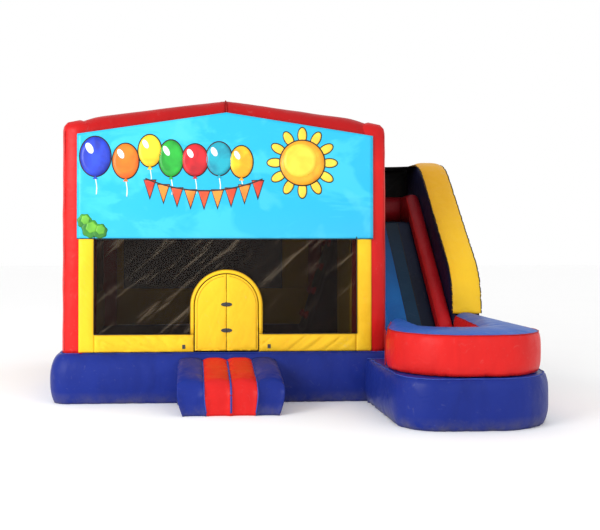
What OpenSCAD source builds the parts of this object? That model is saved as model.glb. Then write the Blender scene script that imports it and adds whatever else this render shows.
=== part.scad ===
// Inflatable bounce house with a side slide, millimetres, +Z up.
// The origin is on the ground under the middle of the house, and the entrance faces -Y.

/* [House] */
// Width and depth of the red frame, over the outside of its columns
house_w = 4400; // [4200:50:4800]
// Height of the inflated base tubes
base_h = 640; // [560:10:700]
// How far the base stands out past the frame
base_out = 150; // [100:10:200]
// Diameter of a column
column_d = 455; // [400:5:480]
// Height of the eaves
eave_z = 3780; // [3500:10:4000]
// Rise of the gable above the eaves
gable_rise = 290; // [150:10:400]
// Thickness of the skin of an inflated chamber
skin = 8; // [4:1:12]

/* [Front] */
// Height of the yellow sill under the front window
sill_h = 240; // [200:10:300]
// Width of the yellow strip beside the front window
strip_w = 205; // [180:5:240]
// Height of the lower edge of the art panel
art_low_z = 2165; // [2000:5:2300]
// Width of the art panel, the standard 13 ft
art_w = 3962; // [3600:2:4100]
// Width of the door opening
door_w = 870; // [760:10:1000]
// Height of the top of the door arch
door_top_z = 1710; // [1600:10:1900]
// Width of the entrance step
step_w = 1320; // [1000:20:1500]
// Depth of the entrance step
step_d = 860; // [700:20:1000]
// Radius of the rounded front of the step
step_nose = 200; // [150:10:230]

/* [Slide] */
// Left edge of the landing base
landing_x0 = 1830; // [1800:10:1900]
// Right edge of the slide base
slide_x1 = 3780; // [3700:10:3900]
// Front edge of the landing base
landing_y0 = -4280; // [-4500:10:-4000]
// Height of the top of the landing bumpers
bumper_z = 1110; // [1000:10:1200]
// Height of the slide platform
platform_z = 2480; // [2200:20:2520]
// Height of the crest of the slide side wall
crest_z = 3500; // [3300:20:3600]
// Thickness of the slide side wall
wall_t = 430; // [300:10:450]

/* [Hidden] */
half = house_w / 2;
base_half = half + base_out;
column_c = half - column_d / 2;
inner = half - column_d;
gap = 1;
floor_z = base_h + 20;
beam_r = 215;
beam_c = eave_z - beam_r - 12;
gable_a = atan(gable_rise / half);
panel_t = 60;
sheet_t = 10;
front_y = -half - 4;
sill_z = floor_z + sill_h;
edge_tuck = 21;
strip_out = art_w / 2 - edge_tuck;
window_half = strip_out - strip_w;
spring_z = door_top_z - door_w / 2;
door_gap = 12;
flap_t = 14;
flap_y = front_y - 34;
wall_x0 = slide_x1 - wall_t;
slide_low_y = -1400;
slide_top_y = 150;
tower_y1 = 1200;
slide_back_y = 1320;
deck_z = 600;
pit_x0 = 2400;
pit_x1 = 3050;
pit_y0 = -3300;
bumper_x0 = 1880;
bumper_in = 70;
bed_low_z = 690;
slide_foot_y = slide_low_y - 40;
bed_slope = (platform_z - bed_low_z) / (slide_top_y - slide_foot_y);
rail_h = 240;
rail_w = 200;
bed_depth = 320;
back_r = 225;
bed_x0 = 2430;
bed_x1 = wall_x0 - 210;
edge_t = 60;
wall_knee_z = 1620;
wall_a = 47.3;
climb_y = 250;
climb_w = 1000;
climb_x0 = 1420;
climb_x1 = half + 25;
climb_lean = 580;
blower_x = -1200;
blower_y = base_half + 380;
fine = 96;

// A block with rounded upright edges, its lowest corner at the origin.
module round_block(x, y, z, r) {
    translate([r, 0, 0]) cube([x - 2 * r, y, z]);
    translate([0, r, 0]) cube([x, y - 2 * r, z]);
    for (i = [r, x - r], j = [r, y - r])
        translate([i, j, 0]) cylinder(r = r, h = z, $fn = fine);
}

// An air chamber: the same block with a sealed hollow inside its skin.
module air_block(x, y, z, r) {
    difference() {
        round_block(x, y, z, r);
        translate([skin, skin, skin])
            round_block(x - 2 * skin, y - 2 * skin, z - 2 * skin, r - skin);
    }
}

// An upright air tube with a softly rounded top edge.
module air_column(h, d, top_r) {
    r = d / 2;
    rotate_extrude($fn = fine) difference() {
        union() {
            square([r, h - top_r]);
            square([r - top_r, h]);
            translate([r - top_r, h - top_r]) circle(r = top_r, $fn = fine);
        }
        translate([-r, -1]) square([r, h + 2]);
        translate([0, skin]) square([r - skin, h - top_r - skin]);
    }
}

// A sealed air tube along +X.
module air_tube_x(length, r) {
    rotate([0, 90, 0]) difference() {
        cylinder(r = r, h = length, $fn = fine);
        translate([0, 0, skin]) cylinder(r = r - skin, h = length - 2 * skin, $fn = fine);
    }
}

module column_at(x, y) {
    translate([x, y, floor_z + gap]) air_column(eave_z - floor_z - gap, column_d, 90);
}

module column_cutter(x, y) {
    translate([x, y, floor_z]) cylinder(r = column_d / 2 + gap, h = 4000, $fn = fine);
}

// One sloping half of a gable, from a corner column up to the apex; side is -1 or 1.
module gable_beam(side, y) {
    mirror([side > 0 ? 1 : 0, 0, 0]) difference() {
        translate([-half, y, beam_c])
            rotate([0, -gable_a, 0]) translate([260, 0, 0]) air_tube_x(half, beam_r);
        column_cutter(-column_c, y);
        translate([-gap, -4000, 3000]) cube([1000, 8000, 2000]);
    }
}

module side_beam(x) {
    difference() {
        translate([x, -column_c, beam_c + 12]) rotate([0, 0, 90]) air_tube_x(2 * column_c, beam_r);
        column_cutter(x, -column_c);
        column_cutter(x, column_c);
    }
}

// The outline of the door arch, grown by more.
module arch(more, low_z) {
    translate([-door_w / 2 - more, low_z]) square([door_w + 2 * more, spring_z - low_z]);
    translate([0, spring_z]) circle(r = door_w / 2 + more, $fn = fine);
}

// Stands a drawing of (x, z) up, with its front at y and its back at y + t.
module upright(y, t) {
    translate([0, y + t, 0]) rotate([90, 0, 0]) linear_extrude(t) children();
}

// Stands a drawing of (y, z) up, from x to x + t.
module sideways(x, t) {
    translate([x, 0, 0]) rotate([90, 0, 90]) linear_extrude(t) children();
}

module house_base() {
    color("royalblue") difference() {
        translate([-base_half, -base_half, 0]) air_block(2 * base_half, 2 * base_half, base_h, 260);
        translate([blower_x, base_half, 330]) rotate([90, 0, 0])
            cylinder(r = 126, h = 60, center = true, $fn = fine);
    }
}

module base_baffles() {
    color("white") for (i = [-2:2])
        translate([i * 750 - 4, -base_half + 350, skin + gap])
            cube([8, 2 * base_half - 700, base_h - 2 * (skin + gap)]);
}

module bounce_floor() {
    color("midnightblue") translate([-half, -half, base_h + gap])
        round_block(house_w, house_w, 18, 225);
}

module front_left_column() { color("red") column_at(-column_c, -column_c); }
module front_right_column() { color("red") column_at(column_c, -column_c); }
module rear_left_column() { color("red") column_at(-column_c, column_c); }
module rear_right_column() { color("red") column_at(column_c, column_c); }
module front_left_beam() { color("red") gable_beam(-1, -column_c); }
module front_right_beam() { color("red") gable_beam(1, -column_c); }
module rear_left_beam() { color("red") gable_beam(-1, column_c); }
module rear_right_beam() { color("red") gable_beam(1, column_c); }
module left_side_beam() { color("red") side_beam(-column_c); }
module right_side_beam() { color("red") side_beam(column_c); }

// The rain roof, a shallow sheet that rests between the two gables.
module roof_panel() {
    low = eave_z - 70;
    high = low + gable_rise * 0.82;
    color("mediumblue") upright(-column_c + beam_r + 4, 2 * (column_c - beam_r - 4))
        polygon([[-column_c + beam_r + 4, low], [0, high], [column_c - beam_r - 4, low],
                 [column_c - beam_r - 4, low - 12], [0, high - 12], [-column_c + beam_r + 4, low - 12]]);
}

module front_window_border() {
    color("gold") difference() {
        upright(front_y - 16, 24) difference() {
            translate([-strip_out, floor_z + 4]) square([2 * strip_out, 3480 - floor_z]);
            translate([-window_half, sill_z]) square([2 * window_half, 3000]);
            arch(gap, 0);
        }
        for (side = [-1, 1]) column_cutter(side * column_c, -column_c);
    }
}

module front_window_mesh() {
    color("black") upright(front_y - 12, sheet_t) difference() {
        translate([-window_half + gap, sill_z + gap])
            square([2 * (window_half - gap), beam_c - sill_z - 100]);
        arch(42, 0);
    }
}

module door_surround() {
    color("gold") upright(front_y - 30, 28) difference() {
        arch(40, sill_z + 2 * gap);
        arch(gap, 0);
    }
}

module door_flap() {
    upright(flap_y, flap_t) difference() {
        arch(-door_gap, floor_z + 20);
        translate([-3, 0]) square([2000, 3000]);
    }
}

module left_door_flap() { color("yellow") door_flap(); }
module right_door_flap() { color("yellow") mirror([1, 0, 0]) door_flap(); }

// Hook and loop tabs across the slit of the door, one half on each flap.
module closure_tabs() {
    for (z = [950, 1295]) translate([-75, flap_y - 6, z - 25]) cube([73, 5, 50]);
}

module left_closure_tabs() { color("black") closure_tabs(); }
module right_closure_tabs() { color("black") mirror([1, 0, 0]) closure_tabs(); }

// The changeable picture panel, held to the frame by hook and loop along its edges.
module art_panel() {
    top_z = 3560;
    color("deepskyblue") upright(front_y - 26, 8)
        polygon([[-art_w / 2, art_low_z], [art_w / 2, art_low_z],
                 [art_w / 2, top_z], [0, top_z + 300], [-art_w / 2, top_z]]);
}

module left_wall_panel() {
    color("gold") translate([-column_c - 30, -inner + 20, floor_z + gap])
        cube([panel_t, 2 * (inner - 20), 640]);
}

module left_wall_mesh() {
    color("black") translate([-column_c - 5, -inner + 20, floor_z + 642])
        cube([sheet_t, 2 * (inner - 20), beam_c - beam_r - floor_z - 640]);
}

// The wide window in the rear wall, taken in by less.
module rear_window(less) {
    translate([-1630 + less, 1310 + less]) square([2900 - 2 * less, 1700 - 2 * less]);
}
module rear_wall_panel() {
    color("gold") upright(column_c - 30, panel_t) difference() {
        translate([-inner + 20, floor_z + gap])
            square([2 * inner - 40, beam_c - beam_r - floor_z]);
        rear_window(0);
    }
}

module rear_wall_mesh() {
    color("black") upright(column_c - 5, sheet_t)
        rear_window(gap);
}

// An arched way through a wall, w wide from y on, with its arch springing at spring.
module doorway(y, w, spring) {
    translate([y, 0]) square([w, spring]);
    translate([y + w / 2, spring]) circle(r = w / 2, $fn = fine);
}
// The small window beside the exit, taken in by less.
module side_window(less) {
    translate([-1400 + less, 1950 + less]) square([600 - 2 * less, 500 - 2 * less]);
}
// The wall between the house and the slide: an arched exit, a small window and the way up.
module right_wall_panel() {
    color("gold") sideways(column_c - 30, panel_t) difference() {
        translate([-inner + 20, floor_z + gap])
            square([2 * inner - 40, beam_c - beam_r - floor_z]);
        doorway(-1600, 800, 1350);
        side_window(0);
        doorway(climb_y, climb_w, 2700);
    }
}

module right_wall_mesh() {
    color("black") sideways(column_c - 5, sheet_t)
        side_window(gap);
}

// One air tube of the entrance step, which slopes down from the floor to a rounded front.
module step_tube(x, w) {
    y0 = -base_half - step_d;
    y1 = -base_half - 2;
    sideways(x, w) {
        polygon([[y0 + step_nose, 0], [y1, 0], [y1, 560], [y0 + step_nose * 1.3, 2 * step_nose - 10]]);
        translate([y0 + step_nose, step_nose]) circle(r = step_nose, $fn = fine);
    }
}

module step_blue_tubes() {
    w = step_w / 4;
    color("blue") {
        step_tube(-step_w / 2, w - gap);
        step_tube(step_w / 2 - w + gap, w - gap);
    }
}

module step_red_tubes() {
    w = step_w / 4;
    color("red") {
        step_tube(-w + gap, w - 2 * gap);
        step_tube(gap, w - 2 * gap);
    }
}

// A plan with two rounded front corners, of radius left_r and right_r, which ends at y1.
module landing_plan(x0, x1, y0, y1, left_r, right_r) {
    polygon([[x0 + left_r, y0], [x1 - right_r, y0], [x1, y0 + right_r], [x1, y1], [x0, y1], [x0, y0 + left_r]]);
    translate([x0 + left_r, y0 + left_r]) circle(r = left_r, $fn = fine);
    translate([x1 - right_r, y0 + right_r]) circle(r = right_r, $fn = fine);
}

// The outline of the landing base, taken in by less.
module landing_outline(less) {
    landing_plan(landing_x0 + less, slide_x1 - less, landing_y0 + less, -base_half - 2 - less,
                 480 - less, 850 - less);
}

module landing_base() {
    color("royalblue") difference() {
        linear_extrude(deck_z) landing_outline(0);
        translate([0, 0, skin]) linear_extrude(deck_z - 2 * skin) landing_outline(skin);
    }
}

module slide_base() {
    color("royalblue") translate([base_half + 2, -base_half, 0])
        air_block(slide_x1 - base_half - 2, base_half + slide_back_y, deck_z, 120);
}

// The mat in the landing pit, which widens towards the foot of the slide.
module landing_mat() {
    back = slide_foot_y - 5;
    color("midnightblue") translate([0, 0, deck_z + gap]) linear_extrude(50) polygon([
        [pit_x0, pit_y0], [pit_x1 - 2 * gap, pit_y0], [wall_x0 - 12, back], [pit_x0, back]
    ]);
}

// Stands a plan of the bumper ring up, from the deck to the top of the bumpers.
module bumper() {
    translate([0, 0, deck_z + gap]) linear_extrude(bumper_z - deck_z - gap) children();
}

// The left arm leans in towards the house, so that it clears the corner column.
module left_bumper() {
    color("red") bumper() polygon([
        [half - 40, -base_half - 2], [pit_x0 - gap, -base_half - 2],
        [pit_x0 - gap, pit_y0], [bumper_x0, pit_y0]
    ]);
}

// The outline of the front and right bumpers together, round the outside.
module bumper_outline() {
    landing_plan(bumper_x0, slide_x1 - bumper_in, landing_y0 + bumper_in, slide_low_y - gap, 730, 820);
}

module front_bumper() {
    color("red") bumper() difference() {
        bumper_outline();
        translate([0, pit_y0 - gap]) square([5000, 5000]);
    }
}

module right_bumper() {
    color("red") bumper() intersection() {
        bumper_outline();
        polygon([[pit_x1, pit_y0], [slide_x1, pit_y0], [slide_x1, 0], [wall_x0, 0], [wall_x0, slide_low_y - gap]]);
    }
}

// Height of the bed at y, on the straight run of the slide.
function bed_z(y) = bed_low_z + bed_slope * (y - slide_foot_y);

// A strip that follows the slide, from below above the bed to above above it.
module slide_strip(below, above) {
    polygon([
        for (y = [slide_foot_y, slide_top_y]) [y, bed_z(y) + below],
        for (y = [slide_top_y, slide_foot_y]) [y, bed_z(y) + above]
    ]);
}

module slide_tower() {
    color("navy") translate([bed_x0 - rail_w, slide_top_y + gap, floor_z + gap])
        air_block(wall_x0 - bed_x0 + rail_w - gap, tower_y1 - slide_top_y, platform_z - floor_z - gap, 60);
}

module slide_bed() {
    color("dodgerblue") sideways(bed_x0 + gap, bed_x1 - bed_x0 - 2 * gap) intersection() {
        slide_strip(-bed_depth, 0);
        translate([-3000, floor_z + gap]) square([6000, 4000]);
    }
}

module slide_rail(x) {
    sideways(x, rail_w) intersection() {
        slide_strip(-bed_depth, rail_h);
        translate([-3000, floor_z + gap]) square([6000, 4000]);
    }
}

module slide_left_rail() { color("dodgerblue") slide_rail(bed_x0 - rail_w); }

// The right rail runs on past the top of the slide, up to the beam behind the platform.
module slide_right_rail() {
    shoulder_z = platform_z + 2 * back_r + 8;
    shoulder_y = slide_top_y + (shoulder_z - platform_z - rail_h) / bed_slope;
    end_y = tower_y1 - 2 * back_r - gap;
    color("firebrick") {
        slide_rail(bed_x1 + gap);
        sideways(bed_x1 + gap, rail_w) polygon([
            [slide_top_y, platform_z + 2], [slide_top_y, platform_z + rail_h],
            [shoulder_y, shoulder_z], [end_y, shoulder_z], [end_y, platform_z + 2]
        ]);
    }
}

// Points round a corner at p, which start and end reach away from it, towards a and c.
function bend(a, p, c, reach, n) = let(
    u = p + reach * (a - p) / norm(a - p), w = p + reach * (c - p) / norm(c - p)
) [for (i = [0:n]) let(t = i / n) (1 - t) * (1 - t) * u + 2 * t * (1 - t) * p + t * t * w];

// The side wall, taken in by less: upright in front, sloping with the slide, level at the crest.
module wall_outline(less) {
    foot_y = slide_low_y + less;
    knee_z = wall_knee_z + less * tan(wall_a) - less / cos(wall_a);
    top_z = crest_z - less;
    shoulder_y = foot_y + (top_z - knee_z) / tan(wall_a);
    foot = [foot_y, deck_z + 2];
    knee = [foot_y, knee_z];
    shoulder = [shoulder_y, top_z];
    rear = [tower_y1 - less, top_z];
    polygon(concat([foot], bend(foot, knee, shoulder, 420, 8), bend(knee, shoulder, rear, 380, 10),
                   [rear, [tower_y1 - less, deck_z + 2]]));
}

module slide_side_wall() {
    color("navy") difference() {
        sideways(wall_x0, wall_t) wall_outline(edge_t + gap);
        sideways(wall_x0 + skin, wall_t - 2 * skin) difference() {
            wall_outline(edge_t + gap + skin);
            translate([-3000, 0]) square([6000, deck_z + skin + 2]);
        }
    }
}

module side_wall_edge() {
    color("gold") sideways(wall_x0, wall_t) difference() {
        wall_outline(0);
        wall_outline(edge_t);
        translate([-3000, 0]) square([6000, bumper_z + gap]);
        translate([tower_y1 - edge_t - gap, 0]) square([1000, 6000]);
    }
}

module slide_back_beam() {
    color("firebrick") translate([half + 30, tower_y1 - back_r, platform_z + back_r + 3])
        air_tube_x(wall_x0 - half - 32, back_r);
}

// The black shade over the platform, and the netting that closes the space behind it.
module slide_roof_cover() {
    w = wall_x0 - half - 5;
    drop_z = platform_z + 2 * back_r + 6;
    color("black") {
        translate([half + 4, 560, crest_z - 72]) cube([w, tower_y1 - 560, sheet_t]);
        translate([half + 4, tower_y1 - 20, drop_z]) cube([w, sheet_t, crest_z - drop_z - 73]);
    }
}

// The steep climbing wall, which leads from the bounce floor up to the platform.
module climbing_wall() {
    color("navy") upright(climb_y + 2, climb_w - 4)
        polygon([[climb_x0, floor_z + gap], [climb_x1, floor_z + gap],
                 [climb_x1, platform_z], [climb_x0 + climb_lean, platform_z]]);
}

module climbing_grips() {
    rise = platform_z - floor_z;
    color("red") for (k = [0:3], y = [climb_y + 0.27 * climb_w, climb_y + 0.73 * climb_w])
        translate([climb_x0 + climb_lean * (0.15 + 0.22 * k), y, floor_z + rise * (0.15 + 0.22 * k)])
            rotate([0, -90 + atan(climb_lean / rise), 0]) translate([0, 0, gap])
                cylinder(r1 = 70, r2 = 45, h = 55, $fn = 48);
}

// Anchor points: a webbing tab sewn low on the wall, folded round the bar of a steel ring.
// Each is [x, y, the way out of the wall].
anchors = [[-base_half, -1700, -1], [-base_half, 1700, -1], [slide_x1, -3200, 1], [slide_x1, 800, 1]];
bar_z = 150;
bar_x = 8;
ring_r = 25;
wire = 8;

module anchor_tab(a) {
    translate([a[0], a[1], bar_z]) rotate([0, 0, a[2] > 0 ? 0 : 180]) difference() {
        union() {
            translate([gap, -20, 0]) cube([4, 40, 110]);
            translate([bar_x, 20, 0]) rotate([90, 0, 0]) cylinder(r = wire / 2 + 3, h = 40, $fn = fine);
        }
        translate([bar_x, 30, 0]) rotate([90, 0, 0]) cylinder(r = wire / 2 + 0.4, h = 60, $fn = fine);
        translate([-9, -30, -20]) cube([9 + gap, 60, 200]);
    }
}

module anchor_tabs() {
    color("black") {
        for (a = anchors) anchor_tab(a);
        for (x = [-590, 550]) translate([x, front_y - 22, 720]) cube([40, 5, 50]);
    }
}

module anchor_ring(a) {
    drop = ring_r + wire + wire;
    color("silver") translate([a[0], a[1], bar_z]) rotate([0, 0, a[2] > 0 ? 0 : 180]) translate([bar_x, 0, 0])
        difference() {
            union() {
                translate([0, ring_r + wire, 0]) rotate([90, 0, 0])
                    cylinder(r = wire / 2, h = 2 * (ring_r + wire), $fn = fine);
                for (y = [-ring_r - wire, ring_r])
                    translate([-wire / 2 + 0.5, y, -drop]) cube([wire - 1, wire, drop]);
                translate([0, 0, -drop]) rotate([0, 90, 0])
                    cylinder(r = ring_r + wire, h = wire - 1, center = true, $fn = fine);
            }
            translate([0, 0, -drop]) rotate([0, 90, 0])
                cylinder(r = ring_r, h = wire + 2, center = true, $fn = fine);
        }
}

module ring_front_left() { anchor_ring(anchors[0]); }
module ring_rear_left() { anchor_ring(anchors[1]); }
module ring_front_right() { anchor_ring(anchors[2]); }
module ring_rear_right() { anchor_ring(anchors[3]); }

// The fabric sleeve that brings air from the blower, a short tube of two diameters.
sleeve_z = 330;
sleeve_r = 125;
nozzle_r = 112;

// Lays a tube drawn along +Z down along +Y, on the line of the air inlet.
module on_inlet(y) {
    translate([blower_x, y, sleeve_z]) rotate([-90, 0, 0]) children();
}

module tube(outer, inside, length) {
    difference() {
        cylinder(r = outer, h = length, $fn = fine);
        translate([0, 0, -1]) cylinder(r = inside, h = length + 2, $fn = fine);
    }
}

module inlet_sleeve() {
    color("royalblue") on_inlet(base_half - skin) tube(sleeve_r, nozzle_r + 3, blower_y - base_half - 110);
}

module sleeve_strap() {
    color("black") on_inlet(blower_y - 230) tube(sleeve_r + 7, sleeve_r + gap, 50);
}

// The blower: a round fan casing on a flat foot, with its outlet nozzle inside the sleeve.
fan_r = 215;
fan_w = 240;
fan_z = 330;
fan_y = blower_y + fan_r + 60;
switch_z = fan_z + fan_r + 62;

module on_fan(x) {
    translate([x, fan_y, fan_z]) rotate([0, 90, 0]) children();
}

module blower_housing() {
    x0 = blower_x - fan_w / 2;
    color("orange") difference() {
        union() {
            on_fan(x0) cylinder(r = fan_r, h = fan_w, $fn = fine);
            translate([x0, fan_y - 190, 0]) cube([fan_w, 380, 200]);
            on_inlet(blower_y - 250) cylinder(r = nozzle_r, h = 330, $fn = fine);
            translate([x0 + 60, fan_y - 120, fan_z + fan_r - 30]) cube([fan_w - 120, 240, 90]);
        }
        on_fan(x0 + 12) cylinder(r = fan_r - 12, h = fan_w - 24, $fn = fine);
        on_fan(x0 - 10) cylinder(r = 125, h = 60, $fn = fine);
        on_inlet(blower_y - 260) cylinder(r = nozzle_r - 8, h = 360, $fn = fine);
        translate([x0 + 12, fan_y - 178, 12]) cube([fan_w - 24, 356, 90]);
        translate([x0 + 50, fan_y - 85, fan_z + fan_r + 4]) cube([fan_w - 100, 170, 30]);
        on_fan(x0 + fan_w - 40) cylinder(r = 14, h = 60, $fn = fine);
        translate([blower_x - 17, fan_y - 18, switch_z - 20]) cube([34, 36, 60]);
    }
}

module blower_motor() {
    color("dimgray") on_fan(blower_x + 8) {
        cylinder(r = 80, h = fan_w / 2 - 8 - 13, $fn = fine);
        translate([0, 0, -60]) cylinder(r = 10, h = 62, $fn = fine);
    }
}

module blower_impeller() {
    blade_r = 165;
    color("gray") on_fan(blower_x - fan_w / 2 + 30) {
        difference() {
            union() {
                translate([0, 0, 78]) cylinder(r = blade_r, h = 4, $fn = fine);
                cylinder(r = blade_r, h = 4, $fn = fine);
                translate([0, 0, 40]) cylinder(r = 22, h = 40, $fn = fine);
                for (a = [0:24:359]) rotate([0, 0, a]) translate([blade_r - 40, -2, 0]) cube([36, 4, 80]);
            }
            translate([0, 0, -1]) cylinder(r = 120, h = 6, $fn = fine);
            translate([0, 0, 30]) cylinder(r = 10.3, h = 60, $fn = fine);
        }
    }
}

// The round wire guard over the air intake.
module intake_grille() {
    color("black") on_fan(blower_x - fan_w / 2 - 11) {
        for (r = [30:24:126]) tube(r + 2.5, r - 2.5, 5);
        for (a = [0:45:179]) rotate([0, 0, a]) translate([-128, -3, 5]) cube([256, 6, 5]);
    }
}

// The rocker switch on top of the casing's side box.
module blower_switch() {
    color("red") translate([blower_x, fan_y, switch_z]) rotate([90, 0, 0])
        cylinder(r = 14, h = 30, center = true, $fn = fine);
}

// The deflation zip on the back wall: a sewn tape with two rows of teeth, and its slider.
zip_x = 1300;
zip_z = 200;
zip_l = 900;

module deflate_zip() {
    color("black") translate([zip_x - zip_l / 2, base_half + gap, zip_z - 25]) cube([zip_l, 4, 50]);
}

module zip_slider() {
    color("silver") {
        translate([zip_x - zip_l / 2 + 10, base_half + gap + 4.5, zip_z - 12]) cube([34, 8, 24]);
        translate([zip_x - zip_l / 2 + 22, base_half + gap + 7, zip_z - 60]) cube([10, 3, 50]);
    }
}

house_base();
base_baffles();
bounce_floor();
front_left_column();
front_right_column();
rear_left_column();
rear_right_column();
front_left_beam();
front_right_beam();
rear_left_beam();
rear_right_beam();
left_side_beam();
right_side_beam();
roof_panel();
front_window_border();
front_window_mesh();
door_surround();
left_door_flap();
right_door_flap();
left_closure_tabs();
right_closure_tabs();
art_panel();
left_wall_panel();
left_wall_mesh();
rear_wall_panel();
rear_wall_mesh();
right_wall_panel();
right_wall_mesh();
step_blue_tubes();
step_red_tubes();
landing_base();
slide_base();
landing_mat();
left_bumper();
front_bumper();
right_bumper();
slide_tower();
slide_bed();
slide_left_rail();
slide_right_rail();
slide_side_wall();
side_wall_edge();
slide_back_beam();
slide_roof_cover();
climbing_wall();
climbing_grips();
anchor_tabs();
ring_front_left();
ring_rear_left();
ring_front_right();
ring_rear_right();
inlet_sleeve();
sleeve_strap();
blower_housing();
blower_motor();
blower_impeller();
intake_grille();
blower_switch();
deflate_zip();
zip_slider();
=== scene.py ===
import bmesh
import bpy
import math
from mathutils import Matrix, Vector, noise
from mathutils.geometry import tessellate_polygon


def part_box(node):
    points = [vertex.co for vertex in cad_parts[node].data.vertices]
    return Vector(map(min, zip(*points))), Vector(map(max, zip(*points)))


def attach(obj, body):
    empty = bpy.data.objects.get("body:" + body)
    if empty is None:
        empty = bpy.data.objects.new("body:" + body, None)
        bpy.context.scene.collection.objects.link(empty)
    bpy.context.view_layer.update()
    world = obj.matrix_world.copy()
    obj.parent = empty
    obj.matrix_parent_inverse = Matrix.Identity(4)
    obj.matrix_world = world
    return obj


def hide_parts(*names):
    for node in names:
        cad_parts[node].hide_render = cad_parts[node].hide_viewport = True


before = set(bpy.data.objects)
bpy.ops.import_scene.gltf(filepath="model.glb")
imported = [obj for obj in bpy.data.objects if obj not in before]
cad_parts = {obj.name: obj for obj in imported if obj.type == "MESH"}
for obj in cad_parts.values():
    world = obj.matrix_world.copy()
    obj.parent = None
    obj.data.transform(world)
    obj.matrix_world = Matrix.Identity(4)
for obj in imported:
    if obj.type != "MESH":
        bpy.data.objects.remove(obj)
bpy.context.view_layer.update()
scene = bpy.context.scene
scene.view_settings.view_transform = "Standard"

# Camera: level with the window, a little left of the door, as the photograph was taken.
cam_data = bpy.data.cameras.new("camera")
cam = bpy.data.objects.new("camera", cam_data)
scene.collection.objects.link(cam)
scene.camera = cam
cam.location = (-0.6535, -13.5296, 2.0345)
cam.rotation_euler = (math.radians(90.61), 0, -0.0595)
cam_data.sensor_width = 36
cam_data.lens = 50.89
cam_data.shift_x = 0.12
cam_data.shift_y = -0.0418
cam_data.clip_end = 300


def box(node):
    lo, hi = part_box(node)
    return lo.x, lo.y, lo.z, hi.x, hi.y, hi.z


# ---------------------------------------------------------------- materials
class Graph:
    """A short way to build one node material."""

    def __init__(self, name):
        self.mat = bpy.data.materials.new(name)
        self.mat.use_nodes = True
        self.nt = self.mat.node_tree
        self.nt.nodes.clear()
        self.out = self.nt.nodes.new("ShaderNodeOutputMaterial")
        self.bsdf = self.nt.nodes.new("ShaderNodeBsdfPrincipled")
        self.link(self.bsdf.outputs[0], self.out.inputs[0])
        self.coord = self.nt.nodes.new("ShaderNodeTexCoord").outputs["Object"]

    def link(self, a, b):
        self.nt.links.new(a, b)

    def put(self, a, socket):
        if hasattr(a, "is_output"):
            self.link(a, socket)
        else:
            socket.default_value = a

    def stretched(self, scale, turn=(0, 0, 0)):
        n = self.nt.nodes.new("ShaderNodeMapping")
        n.inputs["Scale"].default_value = scale
        n.inputs["Rotation"].default_value = turn
        self.link(self.coord, n.inputs["Vector"])
        return n.outputs[0]

    def noise(self, scale, detail=3.0, rough=0.5, distort=0.0, vec=None, kind="FBM"):
        n = self.nt.nodes.new("ShaderNodeTexNoise")
        n.noise_type = kind
        n.inputs["Scale"].default_value = scale
        n.inputs["Detail"].default_value = detail
        n.inputs["Roughness"].default_value = rough
        n.inputs["Distortion"].default_value = distort
        self.link(vec or self.coord, n.inputs["Vector"])
        return n.outputs["Fac"]

    def wave(self, scale, axis, vec=None, distort=0.0):
        n = self.nt.nodes.new("ShaderNodeTexWave")
        n.bands_direction = axis
        n.inputs["Scale"].default_value = scale
        n.inputs["Distortion"].default_value = distort
        self.link(vec or self.coord, n.inputs["Vector"])
        return n.outputs["Fac"]

    def math(self, op, a, b=0.0, clamp=False):
        n = self.nt.nodes.new("ShaderNodeMath")
        n.operation = op
        n.use_clamp = clamp
        self.put(a, n.inputs[0])
        self.put(b, n.inputs[1])
        return n.outputs[0]

    def ramp(self, fac, lo, hi, a=0.0, b=1.0):
        n = self.nt.nodes.new("ShaderNodeMapRange")
        n.inputs["From Min"].default_value = lo
        n.inputs["From Max"].default_value = hi
        n.inputs["To Min"].default_value = a
        n.inputs["To Max"].default_value = b
        self.link(fac, n.inputs["Value"])
        return n.outputs[0]

    def mix(self, fac, a, b):
        n = self.nt.nodes.new("ShaderNodeMix")
        n.data_type = "RGBA"
        self.put(fac, n.inputs["Factor"])
        self.put(a, n.inputs["A"])
        self.put(b, n.inputs["B"])
        return n.outputs["Result"]

    def height(self):
        n = self.nt.nodes.new("ShaderNodeSeparateXYZ")
        self.link(self.coord, n.inputs[0])
        return n.outputs["Z"]

    def bump(self, h, strength, distance, under=None):
        n = self.nt.nodes.new("ShaderNodeBump")
        n.inputs["Strength"].default_value = strength
        n.inputs["Distance"].default_value = distance
        self.link(h, n.inputs["Height"])
        if under:
            self.link(under, n.inputs["Normal"])
        return n.outputs[0]

    def set(self, socket, value):
        self.bsdf.inputs[socket].default_value = value

    def colour(self, a):
        self.link(a, self.bsdf.inputs["Base Color"])

    def rough(self, a):
        self.link(a, self.bsdf.inputs["Roughness"])

    def normal(self, a):
        self.link(a, self.bsdf.inputs["Normal"])


def rgb(r, g, b):
    """A colour given as it looks on a screen, 0 to 255, for a shader."""
    def one(c):
        c /= 255.0
        return c / 12.92 if c <= 0.04045 else ((c + 0.055) / 1.055) ** 2.4
    return (one(r), one(g), one(b), 1.0)


def shade(c, k):
    return (c[0] * k, c[1] * k, c[2] * k, 1.0)


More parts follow.
